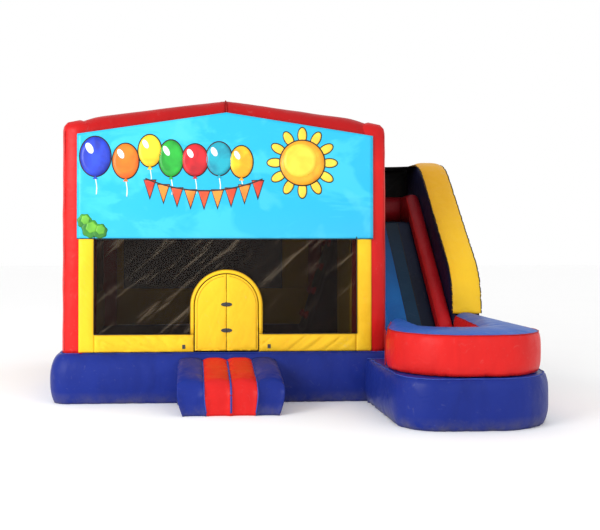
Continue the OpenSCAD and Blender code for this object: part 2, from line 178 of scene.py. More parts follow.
def vinyl(name, colour, deep, rough=0.36, dusty=0.25, wrinkle=1.0, foot=False, sun=None):
    """Coated scrim vinyl: a fine square weave under a satin coat, soft wrinkles, patchy in tone and scuffed; sun
    paints shade in as a darker colour towards the top.
    """
    g = Graph(name)
    weave = g.math("ADD", g.wave(95, "X"), g.math("ADD", g.wave(95, "Y"), g.wave(95, "Z")))
    patches = g.noise(0.55, 3, 0.55)
    streaks = g.noise(2.3, 4, 0.6, 0.6, g.stretched((1, 1, 0.35)))
    scuffs = g.ramp(g.noise(11, 6, 0.68, 1.2), 0.60, 0.74)
    c = g.mix(g.ramp(patches, 0.35, 0.68), colour, shade(colour, 0.84))
    c = g.mix(g.ramp(streaks, 0.42, 0.75, 0.0, 0.55), c, deep)
    dust = (0.42, 0.40, 0.37, 1.0)
    c = g.mix(g.math("MULTIPLY", scuffs, dusty * 0.35), c, dust)
    if sun:  # painted shade: the colour darkens to sun[2] from height sun[0] up to sun[1]
        c = g.mix(g.ramp(g.height(), sun[0], sun[1]), c, sun[2])
    if foot:  # grass and mud marks near the ground
        low = g.ramp(g.height(), 0.0, 0.16, 1.0, 0.0)
        mud = g.math("MULTIPLY", low, g.ramp(g.noise(5, 5, 0.7), 0.35, 0.7), True)
        c = g.mix(g.math("MULTIPLY", mud, 0.5), c, (0.16, 0.14, 0.10, 1.0))
    g.colour(c)
    r = g.ramp(g.noise(3.1, 4, 0.6), 0.3, 0.75, rough - 0.06, rough + 0.14)
    g.rough(g.math("ADD", r, g.math("MULTIPLY", scuffs, 0.12)))
    soft = g.noise(2.1, 2, 0.45, 0.8)
    crease = g.noise(5.5, 3, 0.55, 1.6, None, "RIDGED_MULTIFRACTAL")
    n = g.bump(soft, 0.35 * wrinkle, 0.06)
    n = g.bump(crease, 0.16 * wrinkle, 0.02, n)
    n = g.bump(weave, 0.10, 0.0012, n)
    g.normal(n)
    g.set("Specular IOR Level", 0.13)
    return g.mat


def netting(name, colour, alpha, painted_glare):
    """Fine black safety netting, half seen through, with a painted highlight in a paler colour along its slack
    folds.
    """
    g = Graph(name)
    across = g.nt.nodes.new("ShaderNodeMapping")
    across.inputs["Scale"].default_value = (0.8, 1, 7.5)
    g.link(g.stretched((1, 1, 1), (0, 0.72, 0)), across.inputs["Vector"])
    folds = g.noise(1.5, 5, 0.62, 0.3, across.outputs[0])
    knots = g.math("MULTIPLY", g.wave(60, "X"), g.wave(60, "Z"))
    # painted highlight: the colour turns paler along the folds
    c = g.mix(g.ramp(folds, 0.56, 0.80, 0.0, 1.0), colour, painted_glare)
    c = g.mix(g.math("MULTIPLY", knots, 0.35), c, shade(colour, 0.35))
    g.colour(c)
    g.rough(g.ramp(folds, 0.3, 0.8, 0.55, 0.38))
    n = g.bump(folds, 0.5, 0.05)
    g.normal(g.bump(knots, 0.2, 0.001, n))
    g.set("Specular IOR Level", 0.12)
    g.set("Alpha", alpha)
    return g.mat


def webbing(name, colour):
    g = Graph(name)
    ribs = g.math("ADD", g.wave(190, "DIAGONAL"), g.wave(120, "Z"))
    fuzz = g.noise(160, 3, 0.6)
    c = g.mix(g.ramp(ribs, 0.4, 1.6, 0.0, 0.8), colour, (0.05, 0.05, 0.055, 1))
    c = g.mix(g.math("MULTIPLY", fuzz, 0.3), c, (0.12, 0.12, 0.12, 1))
    g.colour(c)
    g.rough(g.ramp(fuzz, 0.3, 0.7, 0.7, 0.9))
    g.normal(g.bump(ribs, 0.5, 0.0012))
    g.set("Sheen Weight", 0.25)
    return g.mat


def thread(name, colour):
    """A sewn seam: a ridge with a row of stitches along it."""
    g = Graph(name)
    stitch = g.math("ADD", g.wave(28, "X"), g.math("ADD", g.wave(28, "Y"), g.wave(28, "Z")))
    c = g.mix(g.ramp(stitch, 1.2, 2.3), colour, shade(colour, 0.45))
    c = g.mix(g.math("MULTIPLY", g.noise(9, 4, 0.6), 0.35), c, shade(colour, 0.6))
    g.colour(c)
    g.rough(g.ramp(g.noise(30, 3), 0.3, 0.7, 0.5, 0.75))
    g.normal(g.bump(stitch, 0.5, 0.002))
    g.set("Specular IOR Level", 0.12)
    return g.mat


def metal(name, colour, rough, brushed=40, rust=0.12):
    g = Graph(name)
    lines = g.noise(brushed, 4, 0.6, 0.0, g.stretched((1, 1, 14)))
    worn = g.ramp(g.noise(26, 5, 0.65), 0.58, 0.74)
    c = g.mix(lines, colour, shade(colour, 0.72))
    c = g.mix(g.math("MULTIPLY", worn, rust), c, (0.22, 0.11, 0.05, 1))
    g.colour(c)
    g.rough(g.ramp(lines, 0.3, 0.7, rough, rough + 0.14))
    g.normal(g.bump(lines, 0.15, 0.0004))
    g.set("Metallic", 1.0)
    return g.mat


def plastic(name, colour, rough=0.42):
    """Moulded plastic: a fine pebbled grain, pale scratches and dust in the grain."""
    g = Graph(name)
    grain = g.noise(420, 3, 0.55)
    marks = g.ramp(g.noise(38, 5, 0.7, 2.0, g.stretched((1, 1, 0.2))), 0.62, 0.72)
    c = g.mix(g.ramp(g.noise(6, 3), 0.3, 0.7), colour, shade(colour, 0.82))
    c = g.mix(g.math("MULTIPLY", marks, 0.3), c, (0.6, 0.58, 0.55, 1))
    g.colour(c)
    g.rough(g.ramp(g.noise(15, 4), 0.3, 0.7, rough - 0.06, rough + 0.12))
    g.normal(g.bump(grain, 0.25, 0.0005))
    return g.mat


RED = vinyl("red_vinyl", rgb(214, 34, 32), rgb(180, 24, 26))
# painted shade: the posts' red darkens towards their tops, where the gables meet them
RED_POST_SHADED_TOP = vinyl("red_vinyl_post_shaded_top", rgb(214, 34, 32), rgb(180, 24, 26), sun=(3.2, 3.75, rgb(182, 22, 24)))
# painted shade: a darker copy of the red for the gable beams, whose faces lean back from the light
RED_GABLE_SHADED = vinyl("red_vinyl_beam_shaded", rgb(178, 20, 22), rgb(150, 16, 20))
# painted shade: a darker red for the slide's rail and cross beam under the cover, darker again towards the top
RED_SHADED_UNDER_COVER = vinyl("red_vinyl_shaded_under_cover", rgb(190, 26, 34), rgb(130, 16, 26), sun=(1.3, 2.9, rgb(112, 16, 26)))
BLUE = vinyl("blue_vinyl", rgb(26, 44, 130), rgb(18, 30, 98), foot=True)
TOP_BLUE = vinyl("top_blue_vinyl", rgb(26, 88, 176), rgb(20, 70, 150))
# painted shade: the slide's blue darkens towards the top, under the cover
SKY_TOP_SHADED = vinyl("sky_vinyl", rgb(24, 108, 186), rgb(16, 80, 150), sun=(1.2, 2.5, rgb(10, 34, 64)))
# painted shade: the teal and near-black lanes on the bed's right stand in for the shade there, the teal darkening
# further towards the top
TEAL_SHADE_LANE = vinyl("teal_vinyl_shade_lane", rgb(12, 54, 84), rgb(8, 40, 64), sun=(1.2, 2.5, rgb(8, 24, 40)))
YELLOW = vinyl("yellow_vinyl", rgb(246, 200, 42), rgb(236, 174, 34), dusty=0.4)
# painted shade: the band's yellow deepens to gold towards its crest
YELLOW_BAND_SHADED_TOP = vinyl("yellow_vinyl_band_shaded_top", rgb(242, 196, 42), rgb(228, 172, 34), dusty=0.3,
                    sun=(1.8, 3.3, rgb(214, 158, 30)))
NAVY = vinyl("navy_vinyl", rgb(24, 26, 58), rgb(14, 16, 38), 0.4)
NAVY_SHADE_LANE = vinyl("navy_vinyl_shade_lane", rgb(14, 24, 46), rgb(8, 14, 30), 0.4)
MAT_BLUE = vinyl("mat_vinyl", rgb(26, 38, 104), rgb(16, 26, 76), 0.45)
WHITE = vinyl("white_vinyl", rgb(222, 222, 218), rgb(190, 190, 186))
# the last colour given to each netting is its painted highlight
NET = netting("black_netting", rgb(22, 16, 11), 0.48, rgb(126, 112, 94))
BACK_NET = netting("black_netting_walls", rgb(24, 18, 12), 0.88, rgb(64, 54, 40))
SHADE = netting("shade_netting", rgb(4, 4, 5), 0.99, rgb(30, 30, 33))
WEB = webbing("black_webbing", rgb(26, 26, 28))
SEAM_BLUE = thread("seam_blue", rgb(58, 80, 170))
SEAM_RED = thread("seam_red", rgb(182, 34, 34))
SEAM_YELLOW = thread("seam_yellow", rgb(232, 180, 44))
SEAM_DARK = thread("seam_dark", rgb(52, 48, 46))
STEEL = metal("steel", (0.62, 0.63, 0.65, 1), 0.28)
DARK_METAL = metal("dark_metal", (0.11, 0.11, 0.12, 1), 0.42)
CASING = plastic("blower_plastic", rgb(236, 118, 26))
ROCKER = plastic("switch_plastic", rgb(200, 24, 22), 0.3)
GRIP = plastic("grip_vinyl", rgb(222, 36, 40), 0.5)


# ---------------------------------------------------------------- mesh tools
def mesh_object(name, verts, faces, mats, smooth=True, pick=None):
    me = bpy.data.meshes.new(name)
    me.from_pydata([tuple(v) for v in verts], [], faces)
    me.validate()
    o = bpy.data.objects.new(name, me)
    scene.collection.objects.link(o)
    for m in (mats if isinstance(mats, (list, tuple)) else [mats]):
        me.materials.append(m)
    if smooth:
        me.shade_smooth()
    if pick:
        for p in me.polygons:
            p.material_index = pick(p.center, p.normal)
    return o


def modifier(o, kind, **values):
    m = o.modifiers.new(kind.lower(), kind)
    for k, v in values.items():
        setattr(m, k, v)
    return m


def finish_piece(o, body, slot, *nodes):
    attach(o, body)
    if nodes:
        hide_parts(*nodes)
    return o


def padded(o, fill, slot, *nodes, body="root"):
    """A finished piece that is a pad or an air-filled chamber, attached to its body with its CAD parts hidden;
    fill, from 0, slack, to 1, tight, is not used.
    """
    finish_piece(o, body, slot, *nodes)
    return o


def ridged(p, size, seed=0.0):
    """Short creases, 0 to 1, about size apart."""
    v = noise.noise(Vector((p[0] / size + seed, p[1] / size, p[2] / size + 2 * seed)))
    return (1 - abs(v) * 2.2) ** 3 if abs(v) < 0.4545 else 0.0


def soft_noise(p, size, seed=0.0):
    return noise.noise(Vector((p[0] / size + seed, p[1] / size - seed, p[2] / size)))


def resample(pts, step, closed=True):
    """Points about step apart along a line, keeping its corners soft."""
    pts = [Vector(p) for p in pts]
    if closed:
        pts = pts + [pts[0]]
    out = []
    for a, b in zip(pts, pts[1:]):
        n = max(1, round((b - a).length / step))
        out += [a.lerp(b, i / n) for i in range(n)]
    if not closed:
        out.append(pts[-1])
    return out


def rounded(corners, radius, n=8):
    """A closed plan outline with its corners rounded; radius is one number or one for each corner."""
    out = []
    m = len(corners)
    for i, c in enumerate(corners):
        r = radius[i] if isinstance(radius, (list, tuple)) else radius
        p, a, b = Vector(c), Vector(corners[i - 1]), Vector(corners[(i + 1) % m])
        u, w = (a - p).normalized(), (b - p).normalized()
        if r < 1e-6:
            out.append(p)
            continue
        half = math.acos(max(-1, min(1, u.dot(w)))) / 2
        reach = r / math.tan(half)
        mid = p + (u + w).normalized() * (r / math.sin(half))
        s, e = p + u * reach - mid, p + w * reach - mid
        for k in range(n + 1):
            out.append(mid + s.slerp(e, k / n).normalized() * r)
    return out


def skin_rings(rings, closed=True, ends=True):
    """Faces between rings of equal length, with a fan on each end."""
    n = len(rings[0])
    verts = [v for r in rings for v in r]
    faces = []
    for i in range(len(rings) - 1):
        for j in range(n if closed else n - 1):
            k = (j + 1) % n
            faces.append((i * n + j, i * n + k, (i + 1) * n + k, (i + 1) * n + j))
    if ends:
        for i, flip in ((0, True), (len(rings) - 1, False)):
            ring = rings[i]
            mid = sum((Vector(v) for v in ring), Vector((0, 0, 0))) / n
            verts.append(mid)
            c = len(verts) - 1
            for j in range(n):
                k = (j + 1) % n
                f = (i * n + j, i * n + k, c)
                faces.append(f[::-1] if flip else f)
    return verts, faces


def loft(name, rings, mats, pick=None):
    """A closed mesh through the rings, with merged points and outward faces."""
    verts, faces = skin_rings(rings)
    o = mesh_object(name, verts, faces, mats, pick=pick)
    bm_fix(o)
    return o


def grid_faces(nu, nv):
    w = nu + 1
    corners = [j * w + i for j in range(nv) for i in range(nu)]
    return [(c, c + 1, c + w + 1, c + w) for c in corners]


def grid_rim(nu, nv):
    """The points round the edge of a grid, in order."""
    w = nu + 1
    return ([i for i in range(nu)] + [j * w + nu for j in range(nv)] + [nv * w + i for i in range(nu, 0, -1)]
            + [j * w for j in range(nv, 0, -1)])


def chamber(name, plan, z0, z1, mats, bulge=0.05, crown=0.03, pinch=0.012, step=0.05, rows=14,
            floor_inset=0.05, top_inset=None, shoulder=None, square=2.6):
    """An inflated block: its sides swell between the bottom and top seams, its top is crowned, and short
    puckers run out of each seam. plan is (x, y) points anticlockwise, the widest part of the swell."""
    ring = resample([(p[0], p[1], 0) for p in plan], step)
    n = len(ring)
    normals = []
    for i in range(n):
        t = ring[(i + 1) % n] - ring[i - 1]
        normals.append(Vector((t.y, -t.x, 0)).normalized())
    h = z1 - z0
    top_inset = bulge if top_inset is None else top_inset
    rings = []
    for k in range(rows + 1):
        t = k / rows
        swell = 1 - abs(2 * t - 1) ** square
        base = floor_inset * (1 - t) + top_inset * t
        near = min(t, 1 - t) * h
        row = []
        for p, nn in zip(ring, normals):
            z = z0 + t * h
            q = (p.x, p.y, z * 0.25)
            crease = ridged(q, 0.16, 3.1) * pinch * math.exp(-near / 0.10)
            wavy = soft_noise((p.x, p.y, z), 0.75, 1.3) * 0.010 * swell
            off = -base * (1 - swell) - crease - abs(wavy)
            if shoulder and t > shoulder[0]:  # a big round shoulder instead of a seam near the edge
                a = math.pi / 2 * (t - shoulder[0]) / (1 - shoulder[0])
                off = -shoulder[1] * (1 - math.cos(a)) - crease - abs(wavy)
                z = z0 + h * (shoulder[0] + (1 - shoulder[0]) * math.sin(a))
            row.append(p + nn * off + Vector((0, 0, z)))
        rings.append(row)
    mid = Vector((sum(p.x for p in ring) / n, sum(p.y for p in ring) / n, 0))
    edge = rings[-1]
    for k in range(1, 9):
        f = k / 9
        row = []
        for p in edge:
            q = p.lerp(Vector((mid.x, mid.y, p.z)), f)
            d = (Vector((q.x, q.y, 0)) - Vector((p.x, p.y, 0))).length
            up = crown * (1 - math.exp(-d / 0.16)) + soft_noise(q, 0.5, 5.0) * 0.006
            up -= ridged((q.x, q.y, 0.2), 0.17, 8.0) * pinch * 0.7 * math.exp(-d / 0.12)
            row.append(Vector((q.x, q.y, z1 - crown + up)))
        rings.append(row)
    for p in edge:
        p.z = z1 - crown
    verts, faces = skin_rings(rings)
    return mesh_object(name, verts, faces, mats), rings


def tube(name, path, radius, mats, sides=24, pinch=0.006, round_end=0.0, round_start=None, up=(0, 0, 1)):
    """A round inflated tube along a path. round_end is the length over which its ends close; with
    round_start given, only the far end does."""
    path = [Vector(p) for p in path]
    rings = []
    up = Vector(up)
    length = [0.0]
    for a, b in zip(path, path[1:]):
        length.append(length[-1] + (b - a).length)
    for i, p in enumerate(path):
        d = (path[min(i + 1, len(path) - 1)] - path[max(i - 1, 0)]).normalized()
        side = d.cross(up)
        if side.length < 1e-4:
            side = d.cross(Vector((0, 1, 0)))
        side.normalize()
        top = side.cross(d).normalized()
        r = radius
        near = min(length[i], length[-1] - length[i])
        if round_end:
            if round_start is None or length[i] > length[-1] / 2:
                r *= math.sqrt(max(0.0, 1 - max(0, 1 - near / round_end) ** 2)) * 0.96 + 0.04
        row = []
        for k in range(sides):
            a = 2 * math.pi * k / sides
            dr = side * math.cos(a) + top * math.sin(a)
            q = p + dr * r
            w = ridged(q, 0.15, 2.0) * pinch * math.exp(-near / 0.15)
            w += abs(soft_noise(q, 0.5, 4.0)) * pinch * 0.9
            row.append(p + dr * (r - w))
        rings.append(row)
    verts, faces = skin_rings(rings)
    return mesh_object(name, verts, faces, mats), rings


def seam(name, path, mat, slot, r=0.006, closed=False, body="root"):
    """A thin sewn ridge along a line that lies on the fabric."""
    path = [Vector(p) for p in path]
    o, _ = tube(name, path + path[:1] if closed else path, r, mat, sides=8, pinch=0.0)
    return finish_piece(o, body, slot)


def panel(name, nu, nv, place, thick, mats):
    """A sheet of nu by nv cells; place(u, v) gives the point and thick the thickness."""
    verts = [Vector(place(i / nu, j / nv)) for j in range(nv + 1) for i in range(nu + 1)]
    o = mesh_object(name, verts, grid_faces(nu, nv), mats)
    modifier(o, "SOLIDIFY", thickness=thick, offset=0)
    return o


def flat_piece(name, pts, at, thick, mat):
    """A thin cut-out: pts are (x, z), its back at y = at, raised thick towards -Y."""
    pts = [Vector((x, 0, z)) for x, z in pts]
    tris = tessellate_polygon([pts])
    n = len(pts)
    verts = [(p.x, at, p.z) for p in pts] + [(p.x, at - thick, p.z) for p in pts]
    faces = [tuple(t) for t in tris] + [tuple(i + n for i in reversed(t)) for t in tris]
    faces += [(i, (i + 1) % n, (i + 1) % n + n, i + n) for i in range(n)]
    o = mesh_object(name, verts, faces, mat, smooth=False)
    bm_fix(o)
    return o


def bm_fix(o):
    bm = bmesh.new()
    bm.from_mesh(o.data)
    bmesh.ops.remove_doubles(bm, verts=bm.verts, dist=1e-6)
    bmesh.ops.recalc_face_normals(bm, faces=bm.faces)
    bm.to_mesh(o.data)
    bm.free()


def prism(name, outline, x0, x1, mats, bulge=0.03, rows=10, step=0.06, pinch=0.012, rings_in=7):
    """An inflated wall that stands in the Y-Z plane from x0 to x1: outline is (y, z) points. Both faces are
    pillowed and short puckers run in from both seams."""
    ring = resample([(0, y, z) for y, z in outline], step)
    n = len(ring)
    area = sum(ring[i].y * ring[(i + 1) % n].z - ring[(i + 1) % n].y * ring[i].z for i in range(n))
    if area < 0:
        ring.reverse()
    normals = []
    for i in range(n):
        t = ring[(i + 1) % n] - ring[i - 1]
        normals.append(Vector((0, t.z, -t.y)).normalized())
    mid = Vector((0, sum(p.y for p in ring) / n, sum(p.z for p in ring) / n))
    rings = []

    def face_ring(x, f, sign):
        row = []
        for p in ring:
            q = p.lerp(mid, f)
            d = (q - p).length
            up = bulge * (1 - math.exp(-d / 0.12)) + soft_noise((x, q.y, q.z), 0.45, 6.0) * 0.008
            up -= ridged((x, q.y, q.z), 0.17, 7.0) * pinch * math.exp(-d / 0.14)
            row.append(Vector((x + sign * up, q.y, q.z)))
        return row
    for k in range(rings_in, 0, -1):
        rings.append(face_ring(x0 + bulge, k / (rings_in + 1), -1))
    for k in range(rows + 1):
        t = k / rows
        near = min(t, 1 - t) * (x1 - x0)
        row = []
        for p, nn in zip(ring, normals):
            off = -ridged((t * 0.2, p.y, p.z), 0.13, 9.0) * pinch * math.exp(-near / 0.07)
            row.append(p + nn * off + Vector((x0 + bulge + (x1 - x0 - 2 * bulge) * t, 0, 0)))
        rings.append(row)
    for k in range(1, rings_in + 1):
        rings.append(face_ring(x1 - bulge, k / (rings_in + 1), 1))
    return loft(name, rings, mats)


def outline(a, radius, inset=0.0, n=8):
    """A node's box seen from above, with rounded corners."""
    x0, y0, x1, y1 = a[0] + inset, a[1] + inset, a[3] - inset, a[4] - inset
    return rounded([(x0, y0), (x1, y0), (x1, y1), (x0, y1)], radius, n)


def hem(name, ring, lift, r=0.009):
    """A seam right round a blue chamber."""
    seam(name, [p + Vector((0, 0, lift)) for p in ring], SEAM_BLUE, "blue_vinyl", r, True)


# ---------------------------------------------------------------- base
a = box("house_base")
base, rings = chamber("base_chamber", outline(a, 0.26), a[2], a[5] + 0.012, BLUE, bulge=0.075, crown=0.004,
                      floor_inset=0.06, pinch=0.02, rows=20, shoulder=(0.5, 0.15))
padded(base, 0.9, "blue_vinyl", "house_base")
hem("base_hem", rings[1], 0.035)
hem("base_top_seam", rings[20], 0, 0.007)

a = box("bounce_floor")
floor_z = a[5]
floor, _ = chamber("bounce_bed", outline(a, 0.225, 0.02), a[2] - 0.03, floor_z, MAT_BLUE, bulge=0.01,
                   crown=0.008, rows=4, pinch=0.004, floor_inset=0.02, top_inset=0.02)
padded(floor, 0.7, "navy_vinyl", "bounce_floor")
CHANNEL = 0.75  # between the sewn channels of the floor, which lie above the baffles
for k in range(-2, 3):
    line = [(k * CHANNEL, y, floor_z - 0.001) for y in (a[1] + 0.2, 0, a[4] - 0.2)]
    seam("floor_channel_%d" % (k + 2), line, SEAM_DARK, "navy_vinyl", 0.006)
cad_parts["base_baffles"].data.materials[0] = WHITE

# ---------------------------------------------------------------- frame of the house
for node in ("front_left_column", "front_right_column", "rear_left_column", "rear_right_column"):
    a = box(node)
    cx, cy, r = (a[0] + a[3]) / 2, (a[1] + a[4]) / 2, (a[3] - a[0]) / 2
    path = [(cx, cy, a[2] - 0.012 + (a[5] - a[2] + 0.012) * i / 60) for i in range(61)]
    col, _ = tube(node.replace("column", "upright"), path, r, RED_POST_SHADED_TOP, sides=40, pinch=0.014, round_end=0.15,
                  round_start=0, up=(0, 1, 0))
    # squarer than a circle, as a boxed chamber between two seams is
    for v in col.data.vertices:
        dx, dy = v.co.x - cx, v.co.y - cy
        d = math.hypot(dx, dy)
        if d > 1e-4:
            m = max(abs(dx), abs(dy)) / d
            k = 1 + 0.26 * (1 / m - 1)
            v.co.x, v.co.y = cx + dx * min(k, 1.12), cy + dy * min(k, 1.12)
        v.co.x = max(a[0], min(a[3], v.co.x))
        v.co.y = max(a[1], min(a[4], v.co.y))
    padded(col, 0.9, "red_vinyl", node)
    front = -1 if cy < 0 else 1
    for s in (-1, 1):
        seam("%s_seam_%s" % (node, "a" if s < 0 else "b"),
             [(cx + s * r * 0.765, cy + front * r * 0.765, z)
              for z in [a[2] + 0.02 + (a[5] - a[2] - 0.20) * i / 20 for i in range(21)]],
             SEAM_RED, "red_vinyl", 0.005)

BEAM_R = 0.215
SLOPE = 0.29 / 2.2  # of the gable
STATIONS, SIDES = 41, 36
for node in ("front_left_beam", "front_right_beam", "rear_left_beam", "rear_right_beam"):
    a = box(node)
    side = -1 if "left" in node else 1
    cy = (a[1] + a[4]) / 2
    outer = abs(a[0] if side < 0 else a[3]) + 0.06
    peak = a[5] - BEAM_R * 1.01
    path = []  # the tube's middle line, from inside the corner column up to the apex
    for i in range(STATIONS):
        x = side * outer * (1 - i / (STATIONS - 1))
        dip = 0.035 * min(1, max(0, (abs(x) - 1.65) / 0.3)) ** 2  # down into the post's round top
        path.append((x, cy, peak - abs(x) * SLOPE - dip))
    beam, _ = tube(node.replace("beam", "gable"), path, BEAM_R, RED_GABLE_SHADED, sides=SIDES, pinch=0.010)
    for i, v in enumerate(beam.data.vertices):  # upright sections, so the two halves meet flat at the apex
        if i < STATIONS * SIDES:
            v.co.x = path[i // SIDES][0]
    padded(beam, 0.9, "red_vinyl", node)
for node in ("left_side_beam", "right_side_beam"):
    a = box(node)
    cx, cz = (a[0] + a[3]) / 2, (a[2] + a[5]) / 2
    path = [(cx, a[1] - 0.05 + (a[4] - a[1] + 0.10) * i / 50, cz) for i in range(51)]
    beam, _ = tube(node.replace("beam", "eave"), path, BEAM_R, RED, sides=SIDES, pinch=0.012)
    padded(beam, 0.9, "red_vinyl", node)
for end in ("front", "rear"):  # the closing seam at each apex
    a = box(end + "_left_beam")
    cy, cz, r = (a[1] + a[4]) / 2, a[5] - BEAM_R * 1.01, BEAM_R + 0.002
    turns = [2 * math.pi * i / 40 for i in range(40)]
    line = [(0, cy + math.cos(t) * r, cz + math.sin(t) * r) for t in turns]
    seam(end + "_apex_seam", line, SEAM_RED, "red_vinyl", 0.006, True)

# ---------------------------------------------------------------- roof
a = box("roof_panel")


def roof_at(u, v):
    x = a[0] + (a[3] - a[0]) * u
    y = a[1] + (a[4] - a[1]) * v
    ridge = 1 - abs(2 * u - 1)
    z = a[2] + 0.012 + (a[5] - a[2] - 0.012) * ridge
    sag = -0.05 * math.sin(math.pi * min(1, 2 * min(u, 1 - u))) * math.sin(math.pi * v)
    z += sag + soft_noise((x, y, 0), 0.6, 2.0) * 0.012
    return x, y, z


roof = panel("rain_roof", 60, 60, roof_at, 0.004, TOP_BLUE)
finish_piece(roof, "root", "blue_vinyl", "roof_panel")
for k in range(1, 6):
    line = [Vector(roof_at(i / 30, k / 6)) + Vector((0, 0, 0.003)) for i in range(31)]
    seam("roof_seam_%d" % k, line, SEAM_BLUE, "blue_vinyl", 0.005)

# ---------------------------------------------------------------- front wall
fb = box("front_window_border")
fm = box("front_window_mesh")
ap = box("art_panel")
ds = box("door_surround")
fy = fb[1]
sill = fm[2] - 0.001
half_in = fm[3] + 0.001


def strip_at(xa, xb, za, zb, seed, depth, wrinkle):
    """A padded strip of the yellow front, crowned across, with slanting wrinkles."""
    def at(u, v):
        x, z = xa + (xb - xa) * u, za + (zb - za) * v
        e = min(u, 1 - u) * abs(xb - xa)
        f = min(v, 1 - v) * abs(zb - za)
        puff = depth * (1 - math.exp(-e / 0.035)) * (1 - math.exp(-f / 0.035))
        s = (x * 0.8 + z * 1.0) if wrinkle > 0 else (z - x * 0.8)
        w = ridged((s * 2.0, 0.3, (x - z) * 0.35), 0.20, seed) * 0.60 * puff * min(1.4, abs(wrinkle))
        return x, fy + 0.012 - puff + w + soft_noise((x, 0, z), 0.3, seed) * 0.003, z
    return at


def closed_grid(name, nu, nv, front, back, mats):
    """A padded sheet from a grid of points, closed round its edge by a flat back at y = back."""
    rim = grid_rim(nu, nv)
    m, n = len(front), len(rim)
    verts = front + [Vector((front[k].x, back, front[k].z)) for k in rim]
    faces = grid_faces(nu, nv) + [(rim[k], m + k, m + (k + 1) % n, rim[(k + 1) % n]) for k in range(n)]
    faces.append(tuple(range(m, m + n)))
    o = mesh_object(name, verts, faces, mats)
    bm_fix(o)
    return o


# the door's arch: its springing line, and the radii of the flaps, their stitching, the band and the net's cut
SPRING = 1.275
DOOR_R, STITCH_R, BAND_R, NET_R = 0.423, 0.395, 0.455, 0.477
SLIT = 0.003  # half the gap between the flaps
SILL_END = 0.436  # under the door's band
low = floor_z + 0.006
strips = [("strip_left", 14, 90, strip_at(-1.96, -half_in, low, 2.25, 1.0, 0.020, 0.5)),
          ("strip_right", 14, 90, strip_at(half_in, 1.96, low, 2.25, 2.0, 0.020, 0.5)),
          ("sill_left", 70, 14, strip_at(-half_in + 0.001, -SILL_END, low, sill, 3.0, 0.028, 1.5)),
          ("sill_right", 70, 14, strip_at(SILL_END, half_in - 0.001, low, sill, 4.0, 0.028, -1.5))]
for name, nu, nv, at in strips:
    front = [Vector(at(i / nu, j / nv)) for j in range(nv + 1) for i in range(nu + 1)]
    padded(closed_grid(name, nu, nv, front, fb[4], YELLOW), 0.6, "yellow_vinyl", "front_window_border")
for tag, line in (("sill_left", [(x, sill + 0.002) for x in (-half_in, -1.2, -0.48)]),
                  ("sill_right", [(x, sill + 0.002) for x in (0.48, 1.2, half_in)]),
                  ("left", [(-half_in, z) for z in (sill, 1.5, 2.2)]),
                  ("right", [(half_in, z) for z in (sill, 1.5, 2.2)])):
    seam("window_edge_" + tag, [(x, fy - 0.006, z) for x, z in line], SEAM_DARK, "black_netting", 0.007)


def net_wave(x, z, seed):
    """Slack diagonal folds in netting, in metres out of the plane."""
    s = x * 0.55 - z * 0.85
    t = x * 0.85 + z * 0.55
    fine = noise.noise(Vector((s / 0.16 + seed, t / 0.9, seed))) * 0.016
    return fine + noise.noise(Vector((s / 0.5, t / 1.2, seed + 7))) * 0.02


def net_panel(name, a, axis, at, seed, nodes):
    """A netting sheet in a window; a is the opening (u0, v0, u1, v1), axis X or Y its level direction."""
    u0, v0, u1, v1 = a

    def place(u, v):
        p, z = u0 + (u1 - u0) * u, v0 + (v1 - v0) * v
        edge = min(u * (u1 - u0), (1 - u) * (u1 - u0), v * (v1 - v0), (1 - v) * (v1 - v0))
        d = net_wave(p, z, seed) * min(1, edge / 0.12)
        return (p, at + d, z) if axis == "X" else (at + d, p, z)
    o = panel(name, round((u1 - u0) / 0.04), round((v1 - v0) / 0.04), place, 0.0015, BACK_NET)
    finish_piece(o, "root", "black_netting", *nodes)


def front_net():
    """The front netting in one sheet, cut round the door arch."""
    nu, nv = 88, 64
    wide, high = fm[3] - fm[0], min(fm[5], 2.9) - fm[2]
    verts, index, faces = [], {}, []
    for j in range(nv + 1):
        for i in range(nu + 1):
            x, z = fm[0] + wide * i / nu, fm[2] + high * j / nv
            away = math.hypot(x, max(0.0, z - SPRING))
            if away <= 0.43:
                continue
            if away < NET_R:  # drawn out to the arch
                k = NET_R / away
                x, z = x * k, (SPRING + (z - SPRING) * k) if z > SPRING else z
            edge = min(x - fm[0], fm[3] - x, z - fm[2], math.hypot(x, max(0.0, z - SPRING)) - NET_R)
            d = net_wave(x, z, 3.0) * max(0.0, min(1, edge / 0.12))
            index[(i, j)] = len(verts)
            verts.append((x, (fm[1] + fm[4]) / 2 + d + 0.012, z))
    for j in range(nv):
        for i in range(nu):
            q = [index[k] for k in ((i, j), (i + 1, j), (i + 1, j + 1), (i, j + 1)) if k in index]
            if len(q) >= 3:
                faces.append(tuple(q))
    o = mesh_object("front_net", verts, faces, NET)
    bm_fix(o)
    modifier(o, "SOLIDIFY", thickness=0.0015, offset=0)
    finish_piece(o, "root", "black_netting", "front_window_mesh")


front_net()


# door: two padded half arches that meet at the slit, and the yellow band round them
def lens(side, z, wide=0.072, high=0.027, n=12):
    """A tab's outline on one side of the slit: along its upper edge and back along its lower one."""
    steps = [i / n for i in range(n + 1)]
    half = [(side * (SLIT + wide * t), high * math.sqrt(max(0.0, 1 - t ** 2.2))) for t in steps]
    return [(x, z + h) for x, h in half] + [(x, z - h) for x, h in reversed(half[:-1])]


